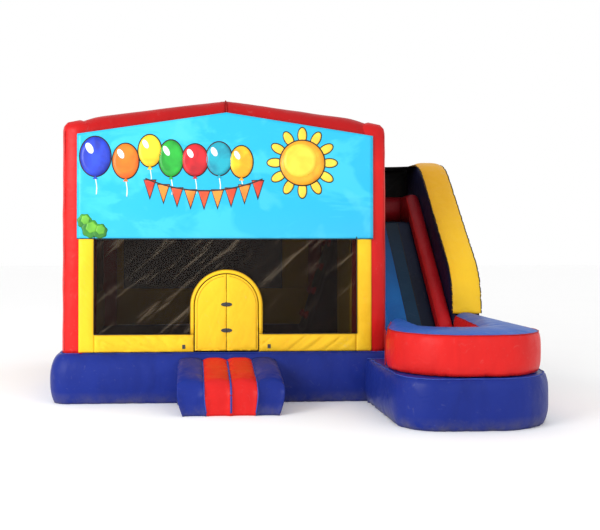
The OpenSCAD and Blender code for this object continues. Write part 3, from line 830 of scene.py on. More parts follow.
def flap(name, side, node):
    a = box(node)
    mid, low, nu, nv, front = (a[1] + a[4]) / 2, a[2], 26, 46, []
    body, tabs = ("left_door", "left_closure_tabs") if side < 0 else ("right_door", "right_closure_tabs")
    for j in range(nv + 1):
        for i in range(nu + 1):
            x = SLIT + (DOOR_R - SLIT - 0.001) * i / nu
            z = low + (SPRING + math.sqrt(max(0.0, DOOR_R * DOOR_R - x * x)) - low) * j / nv
            arch = DOOR_R - math.hypot(x, z - SPRING) if z > SPRING else 1
            e = max(0, min(x - SLIT, DOOR_R - x, z - low, arch))
            puff = 0.0125 * (1 - math.exp(-e / 0.03))
            fold = ridged((side * x * 3 - z, 0.2, z * 0.8 + x), 0.3, 5 + side) * 0.004
            front.append(Vector((side * x, mid + 0.005 - puff + fold, z)))
    padded(closed_grid(name, nu, nv, front, a[4], YELLOW), 0.5, "yellow_vinyl", node, body=body)
    stitch = [(side * STITCH_R, low + 0.03)]  # a line inside the edge
    for i in range(1, 16):
        t = math.pi / 2 * i / 16
        stitch.append((side * STITCH_R * math.cos(t), SPRING + STITCH_R * math.sin(t)))
    seam(name + "_stitch", [(x, mid - 0.0045, z) for x, z in stitch], SEAM_YELLOW, "yellow_vinyl", 0.0035,
         body=body)
    for k, z in enumerate((0.95, 1.295)):  # hook and loop tabs across the slit
        tab = flat_piece("%s_tab_%d" % (name, k), lens(side, z), mid - 0.0075, 0.004, WEB)
        finish_piece(tab, body, "black_webbing", tabs)


flap("door_left", -1, "left_door_flap")
flap("door_right", 1, "right_door_flap")

band_y = ds[1] + 0.016
foot = (0.905, 1.0, 1.1, 1.2)  # heights along the band's upright sides
arc = [math.pi - math.pi * i / 40 for i in range(41)]
band_path = [(-BAND_R, band_y, z) for z in foot]
band_path += [(BAND_R * math.cos(t), band_y, SPRING + BAND_R * math.sin(t)) for t in arc]
band_path += [(BAND_R, band_y, z) for z in reversed(foot)]
band, _ = tube("door_band", band_path, 0.022, YELLOW, sides=14, pinch=0.003, up=(0, 1, 0))
for v in band.data.vertices:
    v.co.y = band_y + (v.co.y - band_y) * 0.7
padded(band, 0.7, "yellow_vinyl", "door_surround")
k = 0.480 / BAND_R  # from the band's middle line to its outer edge
seam("door_band_edge", [(k * x, ds[1] + 0.008, SPRING + (z - SPRING) * k if z > SPRING else z)
                        for x, _, z in band_path], SEAM_YELLOW, "yellow_vinyl", 0.004)


for k, x in enumerate((-0.57, 0.57)):  # webbing tabs on the sill
    w, h, z = 0.021, 0.0275, 0.735
    pts = [(x - w, z - h), (x + w, z - h), (x + w, z + h), (x - w, z + h)]
    o = flat_piece("sill_tab_%d" % k, pts, fy - 0.012, 0.005, WEB)
    modifier(o, "BEVEL", width=0.0015, segments=2)
    finish_piece(o, "root", "black_webbing")

# ---------------------------------------------------------------- art panel
top_z = 3.56
apex = ap[5]


def art_at(u, v):
    x = ap[0] + (ap[3] - ap[0]) * u
    zt = top_z + (apex - top_z) * (1 - abs(2 * u - 1))
    z = ap[2] + (zt - ap[2]) * v
    e = min(u, 1 - u) * (ap[3] - ap[0])
    f = min(v, 1 - v) * (zt - ap[2])
    d = soft_noise((x, 0, z), 0.55, 9.0) * 0.006 * min(1, e / 0.1) * min(1, f / 0.1)
    return x, (ap[1] + ap[4]) / 2 + d, z


def print_sky():
    """The printed sky: cyan with paler drifting clouds, under a satin print film."""
    g = Graph("printed_sky")
    bands = g.noise(0.85, 4, 0.6, 0.7, g.stretched((1, 1, 2.2), (0, -0.5, 0)))
    puffs = g.noise(1.7, 3, 0.5, 0.3)
    c = g.mix(g.ramp(bands, 0.50, 0.58, 0.0, 0.75), rgb(14, 176, 216), rgb(54, 194, 228))
    c = g.mix(g.ramp(puffs, 0.60, 0.66, 0.0, 0.4), c, rgb(74, 200, 232))
    c = g.mix(g.ramp(g.height(), 2.2, 2.6, 0.25, 0.0), c, rgb(60, 180, 226))
    g.colour(c)
    g.rough(g.ramp(g.noise(4, 3), 0.3, 0.7, 0.38, 0.5))
    weave = g.math("ADD", g.wave(140, "X"), g.wave(140, "Z"))
    g.normal(g.bump(weave, 0.08, 0.0008, g.bump(g.noise(2.4, 3, 0.5, 1.0), 0.2, 0.02)))
    return g.mat


def printed(name, colour, deep):
    """Printed ink on the panel, with a soft shaded edge of its own colour and a halftone grain."""
    g = Graph(name)
    c = g.mix(g.ramp(g.noise(3.5, 3, 0.5, 0.5), 0.38, 0.66), colour, deep)
    c = g.mix(g.math("MULTIPLY", g.noise(120, 2), 0.25), c, shade(colour, 0.8))
    g.colour(c)
    g.rough(g.ramp(g.noise(8, 3), 0.3, 0.7, 0.34, 0.48))
    weave = g.math("ADD", g.wave(140, "X"), g.wave(140, "Z"))
    g.normal(g.bump(weave, 0.08, 0.0008))
    return g.mat


art = panel("art_sheet", 70, 34, art_at, 0.003, print_sky())
finish_piece(art, "root", "printed_vinyl", "art_panel")
INK_EDGE = printed("ink_edge", rgb(60, 40, 30), rgb(40, 28, 22))


def art_y(x, z, lift):
    u = (x - ap[0]) / (ap[3] - ap[0])
    zt = top_z + (apex - top_z) * (1 - abs(2 * u - 1))
    return art_at(u, min(1, max(0, (z - ap[2]) / (zt - ap[2]))))[1] - 0.0015 - lift


def ink(name, pts, mat, lift=0.0):
    """A printed shape on the art panel: a thin raised film that follows the sheet."""
    cx, cz = sum(p[0] for p in pts) / len(pts), sum(p[1] for p in pts) / len(pts)
    n, steps = len(pts), 4
    verts, faces = [], []
    for k in range(steps):  # rings that close in on the middle
        f = 1 - k / steps
        for x, z in pts:
            x, z = cx + (x - cx) * f, cz + (z - cz) * f
            verts.append((x, art_y(x, z, 0.0008 + lift), z))
    verts.append((cx, art_y(cx, cz, 0.0008 + lift), cz))
    for k in range(steps - 1):
        for i in range(n):
            j = (i + 1) % n
            faces.append((k * n + i, k * n + j, (k + 1) * n + j, (k + 1) * n + i))
    for i in range(n):
        faces.append(((steps - 1) * n + i, (steps - 1) * n + (i + 1) % n, len(verts) - 1))
    o = mesh_object(name, verts, faces, mat)
    bm_fix(o)
    modifier(o, "SOLIDIFY", thickness=0.0006, offset=0)
    finish_piece(o, "root", "printed_vinyl")


def ellipse(cx, cz, rx, rz, n, turn=0.0, wave=0.0, k=0):
    """n points round an ellipse, turned, its edge waved k times."""
    out, cos, sin = [], math.cos(turn), math.sin(turn)
    for i in range(n):
        t = 2 * math.pi * i / n
        w = 1 + wave * math.sin(k * t)
        x, z = rx * w * math.cos(t), rz * w * math.sin(t)
        out.append((cx + x * cos - z * sin, cz + x * sin + z * cos))
    return out


# a plain sun: a disc and a ring of petals round it
sun = (1.02, 3.19)
ORANGE = printed("ink_orange", rgb(252, 176, 30), rgb(240, 140, 24))
GOLD = printed("ink_gold", rgb(255, 216, 64), rgb(252, 190, 44))
for k in range(12):
    t = 2 * math.pi * k / 12
    c = (sun[0] + 0.37 * math.cos(t), sun[1] + 0.37 * math.sin(t))
    ink("sun_petal_edge_%d" % k, ellipse(*c, 0.115, 0.068, 24, t), INK_EDGE, 0.0)
    ink("sun_petal_%d" % k, ellipse(*c, 0.100, 0.053, 24, t), GOLD, 0.001)
ink("sun_edge", ellipse(*sun, 0.315, 0.315, 60), INK_EDGE, 0.002)
ink("sun_disc", ellipse(*sun, 0.298, 0.298, 60), ORANGE, 0.003)
ink("sun_glow", ellipse(sun[0] - 0.03, sun[1] + 0.03, 0.225, 0.225, 60), GOLD, 0.004)

# a row of plain party balloons
tones = [((30, 70, 220), (16, 40, 160)), ((250, 130, 20), (226, 92, 14)), ((250, 222, 40), (240, 180, 20)),
         ((40, 190, 60), (20, 140, 40)), ((226, 30, 40), (170, 16, 30)), ((20, 170, 190), (12, 120, 150)),
         ((252, 206, 30), (240, 160, 16))]
SHINE = printed("ink_shine", rgb(255, 255, 255), rgb(220, 240, 255))
WHITE_INK = printed("ink_string", rgb(250, 250, 250), rgb(210, 220, 230))
spots = [(-1.74, 3.26, 0.20, 0.26), (-1.34, 3.20, 0.17, 0.23), (-1.02, 3.34, 0.15, 0.21),
         (-0.74, 3.24, 0.16, 0.24), (-0.42, 3.22, 0.17, 0.21), (-0.10, 3.24, 0.17, 0.22), (0.20, 3.20, 0.15, 0.21)]
for k, ((c, d), (x, z, rx, rz)) in enumerate(zip(tones, spots)):
    m = printed("ink_balloon_%d" % k, rgb(*c), rgb(*d))
    string = [(x - 0.006 + 0.02 * math.sin(3 * i / 10), z - rz - 0.02 - 0.028 * i) for i in range(9)]
    ink("balloon_string_%d" % k, string + [(p[0] + 0.012, p[1]) for p in reversed(string)], WHITE_INK, 0.0)
    ink("balloon_edge_%d" % k, ellipse(x, z, rx + 0.016, rz + 0.016, 40), INK_EDGE, 0.001)
    low = z - rz
    ink("balloon_knot_%d" % k, [(x, low + 0.01), (x - 0.035, low - 0.04), (x + 0.035, low - 0.04)], m, 0.002)
    ink("balloon_%d" % k, ellipse(x, z, rx, rz, 40), m, 0.002)
    glint = ellipse(x - rx * 0.38, z + rz * 0.42, rx * 0.22, rz * 0.30, 24, 0.5)
    ink("balloon_shine_%d" % k, glint, SHINE, 0.003)

# a string of bunting where the lettering was
FLAG = [printed("ink_flag_a", rgb(236, 84, 44), rgb(196, 44, 30)),
        printed("ink_flag_b", rgb(252, 150, 50), rgb(230, 110, 30))]


def bunting_z(x):
    """The height of the sagging string, lowest at x = -0.30."""
    return 2.80 + 0.16 * ((x + 0.30) / 0.78) ** 2


rope = [(x, bunting_z(x)) for x in [-1.08 + 1.56 * i / 30 for i in range(31)]]
for k in range(9):
    x = -1.02 + 1.44 * k / 8
    z = bunting_z(x) + 0.01
    ink("flag_edge_%d" % k, [(x - 0.088, z + 0.012), (x + 0.088, z + 0.012), (x, z - 0.262)], INK_EDGE, 0.001)
    ink("flag_%d" % k, [(x - 0.074, z), (x + 0.074, z), (x, z - 0.228)], FLAG[k % 2], 0.002)
for k in range(30):  # the rope between the flags
    (xa, za), (xb, zb) = rope[k], rope[k + 1]
    strip = [(xa, za), (xb + 0.002, zb), (xb + 0.002, zb + 0.02), (xa, za + 0.02)]
    ink("rope_%d" % k, strip, INK_EDGE, 0.003)

# bushes in the lower left corner
GREEN = printed("ink_green", rgb(60, 150, 40), rgb(24, 96, 28))
LEAF = printed("ink_leaf", rgb(120, 196, 52), rgb(70, 150, 40))
for k, (x, z, r) in enumerate([(-1.88, 2.40, 0.10), (-1.80, 2.30, 0.12), (-1.68, 2.27, 0.10)]):
    ink("bush_%d" % k, ellipse(x, z, min(r, x + 1.975), r, 40, 0, 0.06, 7), GREEN, 0.0005 * k)
    leaves = ellipse(x + 0.01, z + 0.02, min(r, x + 1.97) * 0.6, r * 0.6, 30, 0, 0.08, 6)
    ink("bush_light_%d" % k, leaves, LEAF, 0.002 + 0.0005 * k)
line = [art_at(i / 40, 0) for i in range(41)]
seam("art_lower_edge", [(x, y - 0.002, z + 0.006) for x, y, z in line], SEAM_DARK, "printed_vinyl", 0.005)

# ---------------------------------------------------------------- side and rear walls
def wall_panel(name, u0, v0, u1, v1, axis, c, t, seed, node):
    """A padded yellow wall, pillowed on both faces, on the middle plane c and t thick."""
    nu, nv = max(4, round((u1 - u0) / 0.05)), max(4, round((v1 - v0) / 0.05))

    def face(sign):
        points = []
        for j in range(nv + 1):
            for i in range(nu + 1):
                p, z = u0 + (u1 - u0) * i / nu, v0 + (v1 - v0) * j / nv
                e = min(p - u0, u1 - p, z - v0, v1 - z)
                puff = (t / 2 - 0.012) * (1 - math.exp(-e / 0.05)) + 0.012
                crease = ridged((p, 0, z), 0.25, seed) * 0.007 * math.exp(-e / 0.15)
                d = c + sign * (puff + (soft_noise((p, sign, z), 0.35, seed) * 0.005 - crease))
                points.append(Vector((p, d, z)) if axis == "X" else Vector((d, p, z)))
        return points
    verts = face(-1) + face(1)
    cells, rim, m = grid_faces(nu, nv), grid_rim(nu, nv), len(verts) // 2
    n = len(rim)
    faces = cells + [tuple(k + m for k in reversed(q)) for q in cells]
    faces += [(rim[(k + 1) % n], rim[k], rim[k] + m, rim[(k + 1) % n] + m) for k in range(n)]
    o = mesh_object(name, verts, faces, YELLOW)
    bm_fix(o)
    padded(o, 0.6, "yellow_vinyl", node)


TUCK = 0.04  # how far a wall reaches in between the posts' seams, so that no light shows past it
a, m_ = box("left_wall_panel"), box("left_wall_mesh")
wall_panel("left_wall_pad", a[1] - TUCK, a[2], a[4] + TUCK, a[5], "Y", (a[0] + a[3]) / 2, a[3] - a[0], 1.0,
           "left_wall_panel")
net_panel("left_net", (m_[1] - TUCK, m_[2], m_[4] + TUCK, m_[5]), "Y", (m_[0] + m_[3]) / 2, 5.0,
          ["left_wall_mesh"])
a, m_ = box("rear_wall_panel"), box("rear_wall_mesh")
left, right = a[0] - TUCK, a[3] + TUCK
for tag, seed, u0, v0, u1, v1 in (("low", 2.0, left, a[2], right, m_[2]),
                                  ("high", 3.0, left, m_[5], right, a[5]),
                                  ("left", 4.0, left, m_[2], m_[0], m_[5]),
                                  ("right", 5.0, m_[3], m_[2], right, m_[5])):
    wall_panel("rear_pad_" + tag, u0, v0, u1, v1, "X", (a[1] + a[4]) / 2, a[4] - a[1], seed,
               "rear_wall_panel")
net_panel("rear_net", (m_[0], m_[2], m_[3], m_[5]), "X", (m_[1] + m_[4]) / 2, 8.0, ["rear_wall_mesh"])


def pierced_wall(name, a, holes, mat, seed):
    """The wall towards the slide in one padded piece. Its holes are (y0, y1, low, high, arched); an arched
    one goes on up in a half circle from high."""
    y0, y1, z0_, z1_ = a[1] - TUCK, a[4] + TUCK, a[2], a[5]
    cx, t = (a[0] + a[3]) / 2, a[3] - a[0]

    def inside(y, z):
        d = 9.0
        for ya, yb, lo, hi, arch in holes:
            r, c = (yb - ya) / 2, (ya + yb) / 2
            if arch and z > hi:
                e = math.hypot(y - c, z - hi) - r
            else:
                e = max(abs(y - c) - r, (lo - z) if lo > z0_ + 0.01 else -9, (z - hi) if not arch else -9)
            d = min(d, e)
        return d
    step = 0.04
    nu, nv = round((y1 - y0) / step), round((z1_ - z0_) / step)
    bm = bmesh.new()
    keep = {}
    for j in range(nv + 1):
        for i in range(nu + 1):
            y, z = y0 + (y1 - y0) * i / nu, z0_ + (z1_ - z0_) * j / nv
            d = inside(y, z)
            if d < -step * 0.75:
                continue
            for _ in range(6):  # moved out to the opening's edge
                if d < step * 0.45:
                    g_y = (inside(y + 1e-3, z) - inside(y - 1e-3, z)) / 2e-3
                    g_z = (inside(y, z + 1e-3) - inside(y, z - 1e-3)) / 2e-3
                    y, z = y - g_y * d, z - g_z * d
                    d = inside(y, z)
            z = max(z0_, z)
            e = min(y - y0, y1 - y, z - z0_, z1_ - z, max(0, inside(y, z)))
            puff = (t / 2 - 0.014) * (1 - math.exp(-max(0, e) / 0.05)) + 0.014
            puff -= ridged((0, y, z), 0.22, seed) * 0.006 * math.exp(-max(0, e) / 0.12)
            keep[(i, j)] = (bm.verts.new((cx - puff, y, z)), bm.verts.new((cx + puff, y, z)))
    cells = {}
    for j in range(nv):
        for i in range(nu):
            q = [(i, j), (i + 1, j), (i + 1, j + 1), (i, j + 1)]
            k = [c for c in q if c in keep]
            if len(k) >= 3:
                cells[(i, j)] = k
                for side in (0, 1):
                    f = [keep[c][side] for c in k]
                    bm.faces.new(f if side == 0 else f[::-1])
    edges = {}
    for k in cells.values():
        for p, q in zip(k, k[1:] + k[:1]):
            key = tuple(sorted((p, q)))
            edges[key] = edges.get(key, 0) + 1
    for (p, q), times in edges.items():
        if times == 1:
            bm.faces.new((keep[p][0], keep[q][0], keep[q][1], keep[p][1]))
    bmesh.ops.remove_doubles(bm, verts=bm.verts, dist=1e-5)
    bmesh.ops.recalc_face_normals(bm, faces=bm.faces)
    me = bpy.data.meshes.new(name)
    bm.to_mesh(me)
    bm.free()
    o = bpy.data.objects.new(name, me)
    scene.collection.objects.link(o)
    me.materials.append(mat)
    me.shade_smooth()
    padded(o, 0.6, "yellow_vinyl", "right_wall_panel")


a, m_ = box("right_wall_panel"), box("right_wall_mesh")
pierced_wall("right_wall_pad", a, [(-1.6, -0.8, a[2] - 1, 1.35, True), (-1.4, -0.8, 1.95, 2.45, False),
                                   (0.25, 1.25, a[2] - 1, 2.7, True)], YELLOW, 6.0)
net_panel("right_net", (m_[1], m_[2], m_[4], m_[5]), "Y", (m_[0] + m_[3]) / 2, 11.0, ["right_wall_mesh"])

# ---------------------------------------------------------------- entrance step
sb = box("step_blue_tubes")
tube_w, nose_y, back_y = 0.33, sb[1], sb[4]


def bend(a, p, c, reach, n):
    """The round corner at p between a and c, from reach before it to reach after it."""
    u, w = p + (a - p).normalized() * reach, p + (c - p).normalized() * reach
    return [(1 - t) ** 2 * u + 2 * t * (1 - t) * p + t * t * w for t in [i / n for i in range(n + 1)]]


# the step's side view as (y, z): a gentle slope, a round nose and an upright front
STEP_BACK_Z, STEP_NOSE_Z, LEAN = 0.605, 0.385, 0.03
foot = Vector((nose_y + LEAN, 0.0))
profile = [Vector((back_y, STEP_BACK_Z))]
profile += bend(profile[0], Vector((nose_y + 0.005, STEP_NOSE_Z)), foot, 0.20, 14) + [foot]
profile = [Vector((p.y, p.z)) for p in resample([(0, p.x, p.y) for p in profile], 0.03, closed=False)]


def taper(x, z):
    """The four tubes draw together towards the ground, and a little at the back."""
    return x * (1 - 0.10 * max(0.0, 1 - z / 0.26) ** 1.6 - 0.02 * max(0.0, (z - 0.4) / 0.2))


step_ends = len(profile) - 1
for k, (cx, mat) in enumerate(((-0.495, BLUE), (-0.165, RED), (0.165, RED), (0.495, BLUE))):
    rings = []
    for i, p in enumerate(profile):
        d = (profile[min(i + 1, step_ends)] - profile[max(i - 1, 0)]).normalized()
        along, row = i / step_ends, []
        calm = min(1, along / 0.15, (1 - along) / 0.10)
        for j in range(21):
            u = j / 20
            x = cx + tube_w * (u - 0.5)
            crease = ridged((x * 0.6, p.x, p.y), 0.12, k + 1.5) * 0.014 * (1 - 2 * min(u, 1 - u))
            sink = 0.034 * abs(2 * u - 1) ** 4 + crease - 0.012 * math.sin(math.pi * along) * calm
            row.append(Vector((taper(x, p.y), max(nose_y, p.x + d.y * sink), max(0.0, p.y + d.x * sink))))
        for f, side in ((0.5, 1), (1.0, 1), (1.0, -1), (0.5, -1)):  # round under the tube, back to the start
            x, y, z = cx + side * tube_w / 2, p.x + (back_y - p.x) * f, p.y * (1 - f)
            row.append(Vector((taper(x, z) if f < 1 else x, y, z)))
        rings.append(row)
    colour = "blue" if mat is BLUE else "red"
    padded(loft("step_tube_%d" % k, rings, mat), 0.85, colour + "_vinyl", "step_%s_tubes" % colour)
    if k:
        groove = [r[0] + Vector((0, -0.004, 0.004)) for r in rings[1:-1]]
        seam("step_seam_%d" % k, groove, SEAM_BLUE, "blue_vinyl", 0.012 if k == 2 else 0.007)

# ---------------------------------------------------------------- landing and slide base
lb = box("landing_base")
land, rings = chamber("landing_chamber", outline(lb, [0.48, 0.85, 0.03, 0.03], n=14), lb[2], lb[5], BLUE,
                      bulge=0.06, crown=0.02, floor_inset=0.05, top_inset=0.05, pinch=0.02, square=4.0)
padded(land, 0.9, "blue_vinyl", "landing_base")
hem("landing_hem", rings[1], 0.03)
hem("landing_top_seam", rings[14], 0, 0.007)
a = box("slide_base")
sbase, rings = chamber("slide_chamber", outline(a, [0.03, 0.03, 0.12, 0.03]), a[2], a[5], BLUE, bulge=0.05,
                       crown=0.012, floor_inset=0.05, top_inset=0.04, pinch=0.02, square=4.0)
padded(sbase, 0.9, "blue_vinyl", "slide_base")
hem("slide_base_hem", rings[1], 0.03)
a = box("landing_mat")
plan = [(a[0], a[1]), (3.048, a[1]), (a[3], a[4]), (a[0], a[4])]
mat_, _ = chamber("landing_pad", plan, a[2], a[5], MAT_BLUE, bulge=0.012, crown=0.012, rows=5,
                  floor_inset=0.01, top_inset=0.02, pinch=0.006)
padded(mat_, 0.6, "navy_vinyl", "landing_mat")

# bumpers: red sides under a blue top that runs round the pit in a U
fbb, lbb, rbb = box("front_bumper"), box("left_bumper"), box("right_bumper")


def arc_points(cx, cy, r, a0, a1, n):
    turns = [math.radians(a0 + (a1 - a0) * i / n) for i in range(n + 1)]
    return [(cx + r * math.cos(t), cy + r * math.sin(t)) for t in turns]


def spaced(pts, n):
    """n + 1 points evenly along a line."""
    pts = [Vector(p) for p in pts]
    total = sum((b - a).length for a, b in zip(pts, pts[1:]))
    out = []
    for k in range(n + 1):
        d = total * k / n
        for a, b in zip(pts, pts[1:]):
            if d <= (b - a).length + 1e-9:
                out.append(a.lerp(b, min(1, d / (b - a).length)))
                break
            d -= (b - a).length
        else:
            out.append(pts[-1])
    return out


def bolster(node, inside, outside):
    """A bumper between two plan lines: red sides that swell, a crowned blue top sewn on along both edges."""
    a = box(node)
    z_low, z_top, rings = a[2], a[5], []
    seam_z = z_top - 0.05  # the top's crown above its seams
    count, side_n, top_n = len(inside), 12, 16

    def side(p, n, i, size, seed, depth, fade):
        """A point of one side, i of side_n up, drawn in along n at the seams."""
        t = i / side_n
        z = z_low + (seam_z - z_low) * t
        near = min(t, 1 - t) * (z_top - z_low)
        crease = ridged((p.x, p.y, z * 0.2), size, seed) * depth * math.exp(-near / fade)
        back = 0.026 * abs(2 * t - 1) ** 4 + crease
        return Vector((p.x + n.x * back, p.y + n.y * back, z))
    for p, q in zip(inside, outside):
        w = q - p
        n = w.normalized()
        row = [side(p, n, i, 0.14, 4.0, 0.014, 0.08) for i in range(side_n + 1)]
        for i in range(1, top_n):
            u = i / top_n
            c = p + w * u
            edge = min(u, 1 - u) * w.length
            crown = 0.05 * (1 - abs(2 * u - 1) ** 2.2)
            z = seam_z + crown - ridged((c.x, c.y, 1), 0.16, 2.0) * 0.014 * math.exp(-edge / 0.08)
            lean = 0.035 * (1 - 2 * u) * abs(1 - 2 * u)
            row.append(Vector((c.x + n.x * lean, c.y + n.y * lean, z)))
        rings.append(row + [side(q, -n, i, 0.16, 6.0, 0.018, 0.09) for i in range(side_n, -1, -1)])
    verts, faces = skin_rings(rings)
    o = mesh_object(node.replace("bumper", "bolster"), verts, faces, [RED, TOP_BLUE])
    m = len(rings[0])
    for i, f in enumerate(o.data.polygons):
        if i < (count - 1) * m and side_n <= i % m < side_n + top_n:
            f.material_index = 1
    bm_fix(o)
    padded(o, 0.85, "red_vinyl", node)
    for tag, i in (("outer", side_n + top_n), ("inner", side_n)):
        line = [r[i] + Vector((0, 0, 0.001)) for r in rings]
        seam(node + "_seam_" + tag, line, SEAM_RED, "red_vinyl", 0.006)


left_x, right_x, pit_l, pit_r, split_y = fbb[0], fbb[3], lbb[3] + 0.001, 3.05, fbb[4]
r_l, r_r = 0.73, 0.82  # the front bumper's outer corners
bolster("left_bumper", spaced([(pit_l, lbb[4]), (pit_l, split_y)], 26),
        spaced([(2.165, lbb[4]), (left_x, split_y)], 26))
out_line = [(left_x, split_y)] + arc_points(left_x + r_l, fbb[1] + r_l, r_l, 180, 270, 24)
out_line += arc_points(right_x - r_r, fbb[1] + r_r, r_r, 270, 360, 26) + [(right_x, split_y)]
bolster("front_bumper", spaced([(pit_l, split_y), (pit_r, split_y)], 70), spaced(out_line, 70))
bolster("right_bumper", spaced([(pit_r, split_y), (3.35, rbb[4])], 46),
        spaced([(right_x, split_y), (rbb[3], rbb[4])], 46))
seam("bumper_side_seam", [(left_x - 0.002, split_y, lbb[2] + 0.02 + (fbb[5] - lbb[2] - 0.08) * i / 12)
                          for i in range(13)], SEAM_RED, "red_vinyl", 0.007)

# ---------------------------------------------------------------- slide
bx0, low_y, _, bx1, top_y, top_z = box("slide_bed")
LOW_Z = 0.69  # the bed's foot, just over the mat
MAT_Z = 0.662
RAIL_UP = 0.24  # the rails stand this far over the bed
LANES = (0.30, 0.50)  # the bed's colours change at these distances from its left edge: its blue, then two lanes of painted shade


def slope_z(y):
    return LOW_Z + (top_z - LOW_Z) * (y - low_y) / (top_y - low_y)


def bed_z(y):
    return slope_z(min(y, top_y))


def slide_strip(name, xa, xb, above, mats, node, crown, across=18, pick=None):
    """A tube or the bed that runs down the slide, pillowed across, from the top to the foot."""
    rows, rings = 46, []
    for i in range(rows + 1):
        y = low_y + (top_y - low_y) * i / rows
        z, under = bed_z(y) + above, max(MAT_Z, bed_z(y) - 0.32)
        row = []
        for j in range(across + 1):
            u = j / across
            x = xa + (xb - xa) * u
            puff = -crown * abs(2 * u - 1) ** 2.6
            crease = ridged((x, y * 1.2, z), 0.2, 4.0) * 0.007 * math.exp(-min(u, 1 - u) * (xb - xa) / 0.05)
            row.append(Vector((x, y, z + puff - crease + soft_noise((x, y, z), 0.3, 1.0) * 0.004)))
        rings.append(row + [Vector((xb, y, under)), Vector((xa, y, under))])
    padded(loft(name, rings, mats, pick=pick), 0.8, "sky_vinyl", node)


# picks the bed's blue, then the teal and the near-black painted shade lanes, from left to right
def shade_lanes(c, n):
    return 0 if c.x < bx0 + LANES[0] else (1 if c.x < bx0 + LANES[1] else 2)


slide_strip("slide_lane_bed", bx0, bx1, 0.0, [SKY_TOP_SHADED, TEAL_SHADE_LANE, NAVY_SHADE_LANE], "slide_bed", 0.012, 24, shade_lanes)
for k, u in enumerate(LANES):
    line = [low_y + 0.02 + (top_y - low_y - 0.04) * i / 20 for i in range(21)]
    seam("lane_seam_%d" % k, [(bx0 + u, y, bed_z(y) - 0.002) for y in line], SEAM_DARK, "sky_vinyl", 0.005)
a = box("slide_left_rail")
slide_strip("slide_rail_left", a[0], a[3], RAIL_UP, SKY_TOP_SHADED, "slide_left_rail", 0.05)

# the right rail: down the slide, and up to the shoulder behind the platform
a = box("slide_right_rail")
rows, rings = 60, []
for i in range(rows + 1):
    y = low_y + (a[4] - low_y) * i / rows
    z = min(slope_z(y) + RAIL_UP, a[5])
    under = max(MAT_Z, bed_z(y) - 0.32) if y < top_y else top_z + 0.002
    if y < top_y < y + (a[4] - low_y) / rows:
        under = top_z - 0.3
    row = []
    for j in range(15):
        u = j / 14
        crease = ridged((u, y * 1.2, z), 0.2, 5.0) * 0.006
        row.append(Vector((a[0] + (a[3] - a[0]) * u, y, z - 0.055 * abs(2 * u - 1) ** 2.4 - crease)))
    rings.append(row + [Vector((a[3], y, under)), Vector((a[0], y, under))])
padded(loft("slide_rail_right", rings, RED_SHADED_UNDER_COVER), 0.8, "red_vinyl", "slide_right_rail")
seam("rail_seam", [r[0] + Vector((0, 0, 0.004)) for r in rings[1:-1]], SEAM_RED, "red_vinyl", 0.005)

a = box("slide_tower")
tower, _ = chamber("slide_tower_chamber", outline(a, 0.06), a[2], a[5], NAVY, bulge=0.04, crown=0.015,
                   floor_inset=0.04, top_inset=0.03, rows=24, pinch=0.016)
padded(tower, 0.9, "navy_vinyl", "slide_tower")
a = box("slide_back_beam")
cy, cz, r = (a[1] + a[4]) / 2, (a[2] + a[5]) / 2, (a[5] - a[2]) / 2
beam, _ = tube("slide_cross_beam", [(a[0] + (a[3] - a[0]) * i / 30, cy, cz) for i in range(31)], r, RED_SHADED_UNDER_COVER,
               sides=36, pinch=0.014, round_end=0.02)
padded(beam, 0.9, "red_vinyl", "slide_back_beam")

# the side wall: a navy chamber with a yellow band sewn along its sloping edge
w_ = box("slide_side_wall")
e_ = box("side_wall_edge")


WALL_FRONT, WALL_FOOT, WALL_KNEE, WALL_CREST = -1.4, 0.602, 1.62, 3.5
WALL_SLOPE = math.radians(47.3)
BAND_DEPTH = 0.061  # how far the band reaches in from the wall's edge


def wall_outline(less):
    """The side wall's outline from the front foot over the crest, taken in by less."""
    front, crest = WALL_FRONT + less, WALL_CREST - less
    knee_z = WALL_KNEE + less * math.tan(WALL_SLOPE) - less / math.cos(WALL_SLOPE)
    foot, knee = Vector((front, WALL_FOOT)), Vector((front, knee_z))
    shoulder = Vector((front + (crest - knee_z) / math.tan(WALL_SLOPE), crest))
    rear = Vector((w_[4], crest))
    return [foot] + bend(foot, knee, shoulder, 0.42, 12) + bend(knee, shoulder, rear, 0.38, 12) + [rear]


full = wall_outline(BAND_DEPTH) + [Vector((w_[4], WALL_FOOT))]
wall = prism("slide_wall_chamber", [(p.x, p.y) for p in full], w_[0], w_[3], NAVY, bulge=0.022, pinch=0.014,
             rings_in=10)
padded(wall, 0.9, "navy_vinyl", "slide_side_wall")

# the band: it wraps the edge, its front face swollen and puckered along both sewn sides
line = resample([(0, p.x, p.y) for p in wall_outline(0.0)], 0.035, closed=False)
line = [p for p in line if p.z > 1.07]
band_w, m, rings = e_[3] - e_[0], len(line), []
for i, p in enumerate(line):
    d = (line[min(i + 1, m - 1)] - line[max(i - 1, 0)]).normalized()
    nrm = Vector((0, -d.z, d.y))
    row = []
    for k in range(21):
        u = k / 20
        e = min(u, 1 - u) * band_w
        crease = ridged((u * 0.05, p.y, p.z), 0.085, 3.3) * 0.022 * math.exp(-e / 0.05)
        off = -0.036 * abs(2 * u - 1) ** 3.2 - crease - ridged((u * 0.3, p.y, p.z), 0.2, 6.3) * 0.006
        row.append(p + nrm * off + Vector((e_[0] + band_w * u, 0, 0)))
    rings.append(row + [p - nrm * 0.058 + Vector((x, 0, 0)) for x in (e_[3], e_[0])])
padded(loft("slide_wall_band", rings, YELLOW_BAND_SHADED_TOP), 0.7, "yellow_vinyl", "side_wall_edge")
seam("band_seam_inner", [r[0] + Vector((0.002, 0, 0)) for r in rings], SEAM_DARK, "yellow_vinyl", 0.008)
seam("band_seam_outer", [r[20] - Vector((0.002, 0, 0)) for r in rings], SEAM_DARK, "yellow_vinyl", 0.010)

# shade over the platform and its back drop, one sheet that turns down at the rear
a = box("slide_roof_cover")
flat_len, drop = a[4] - a[1], a[5] - a[2]


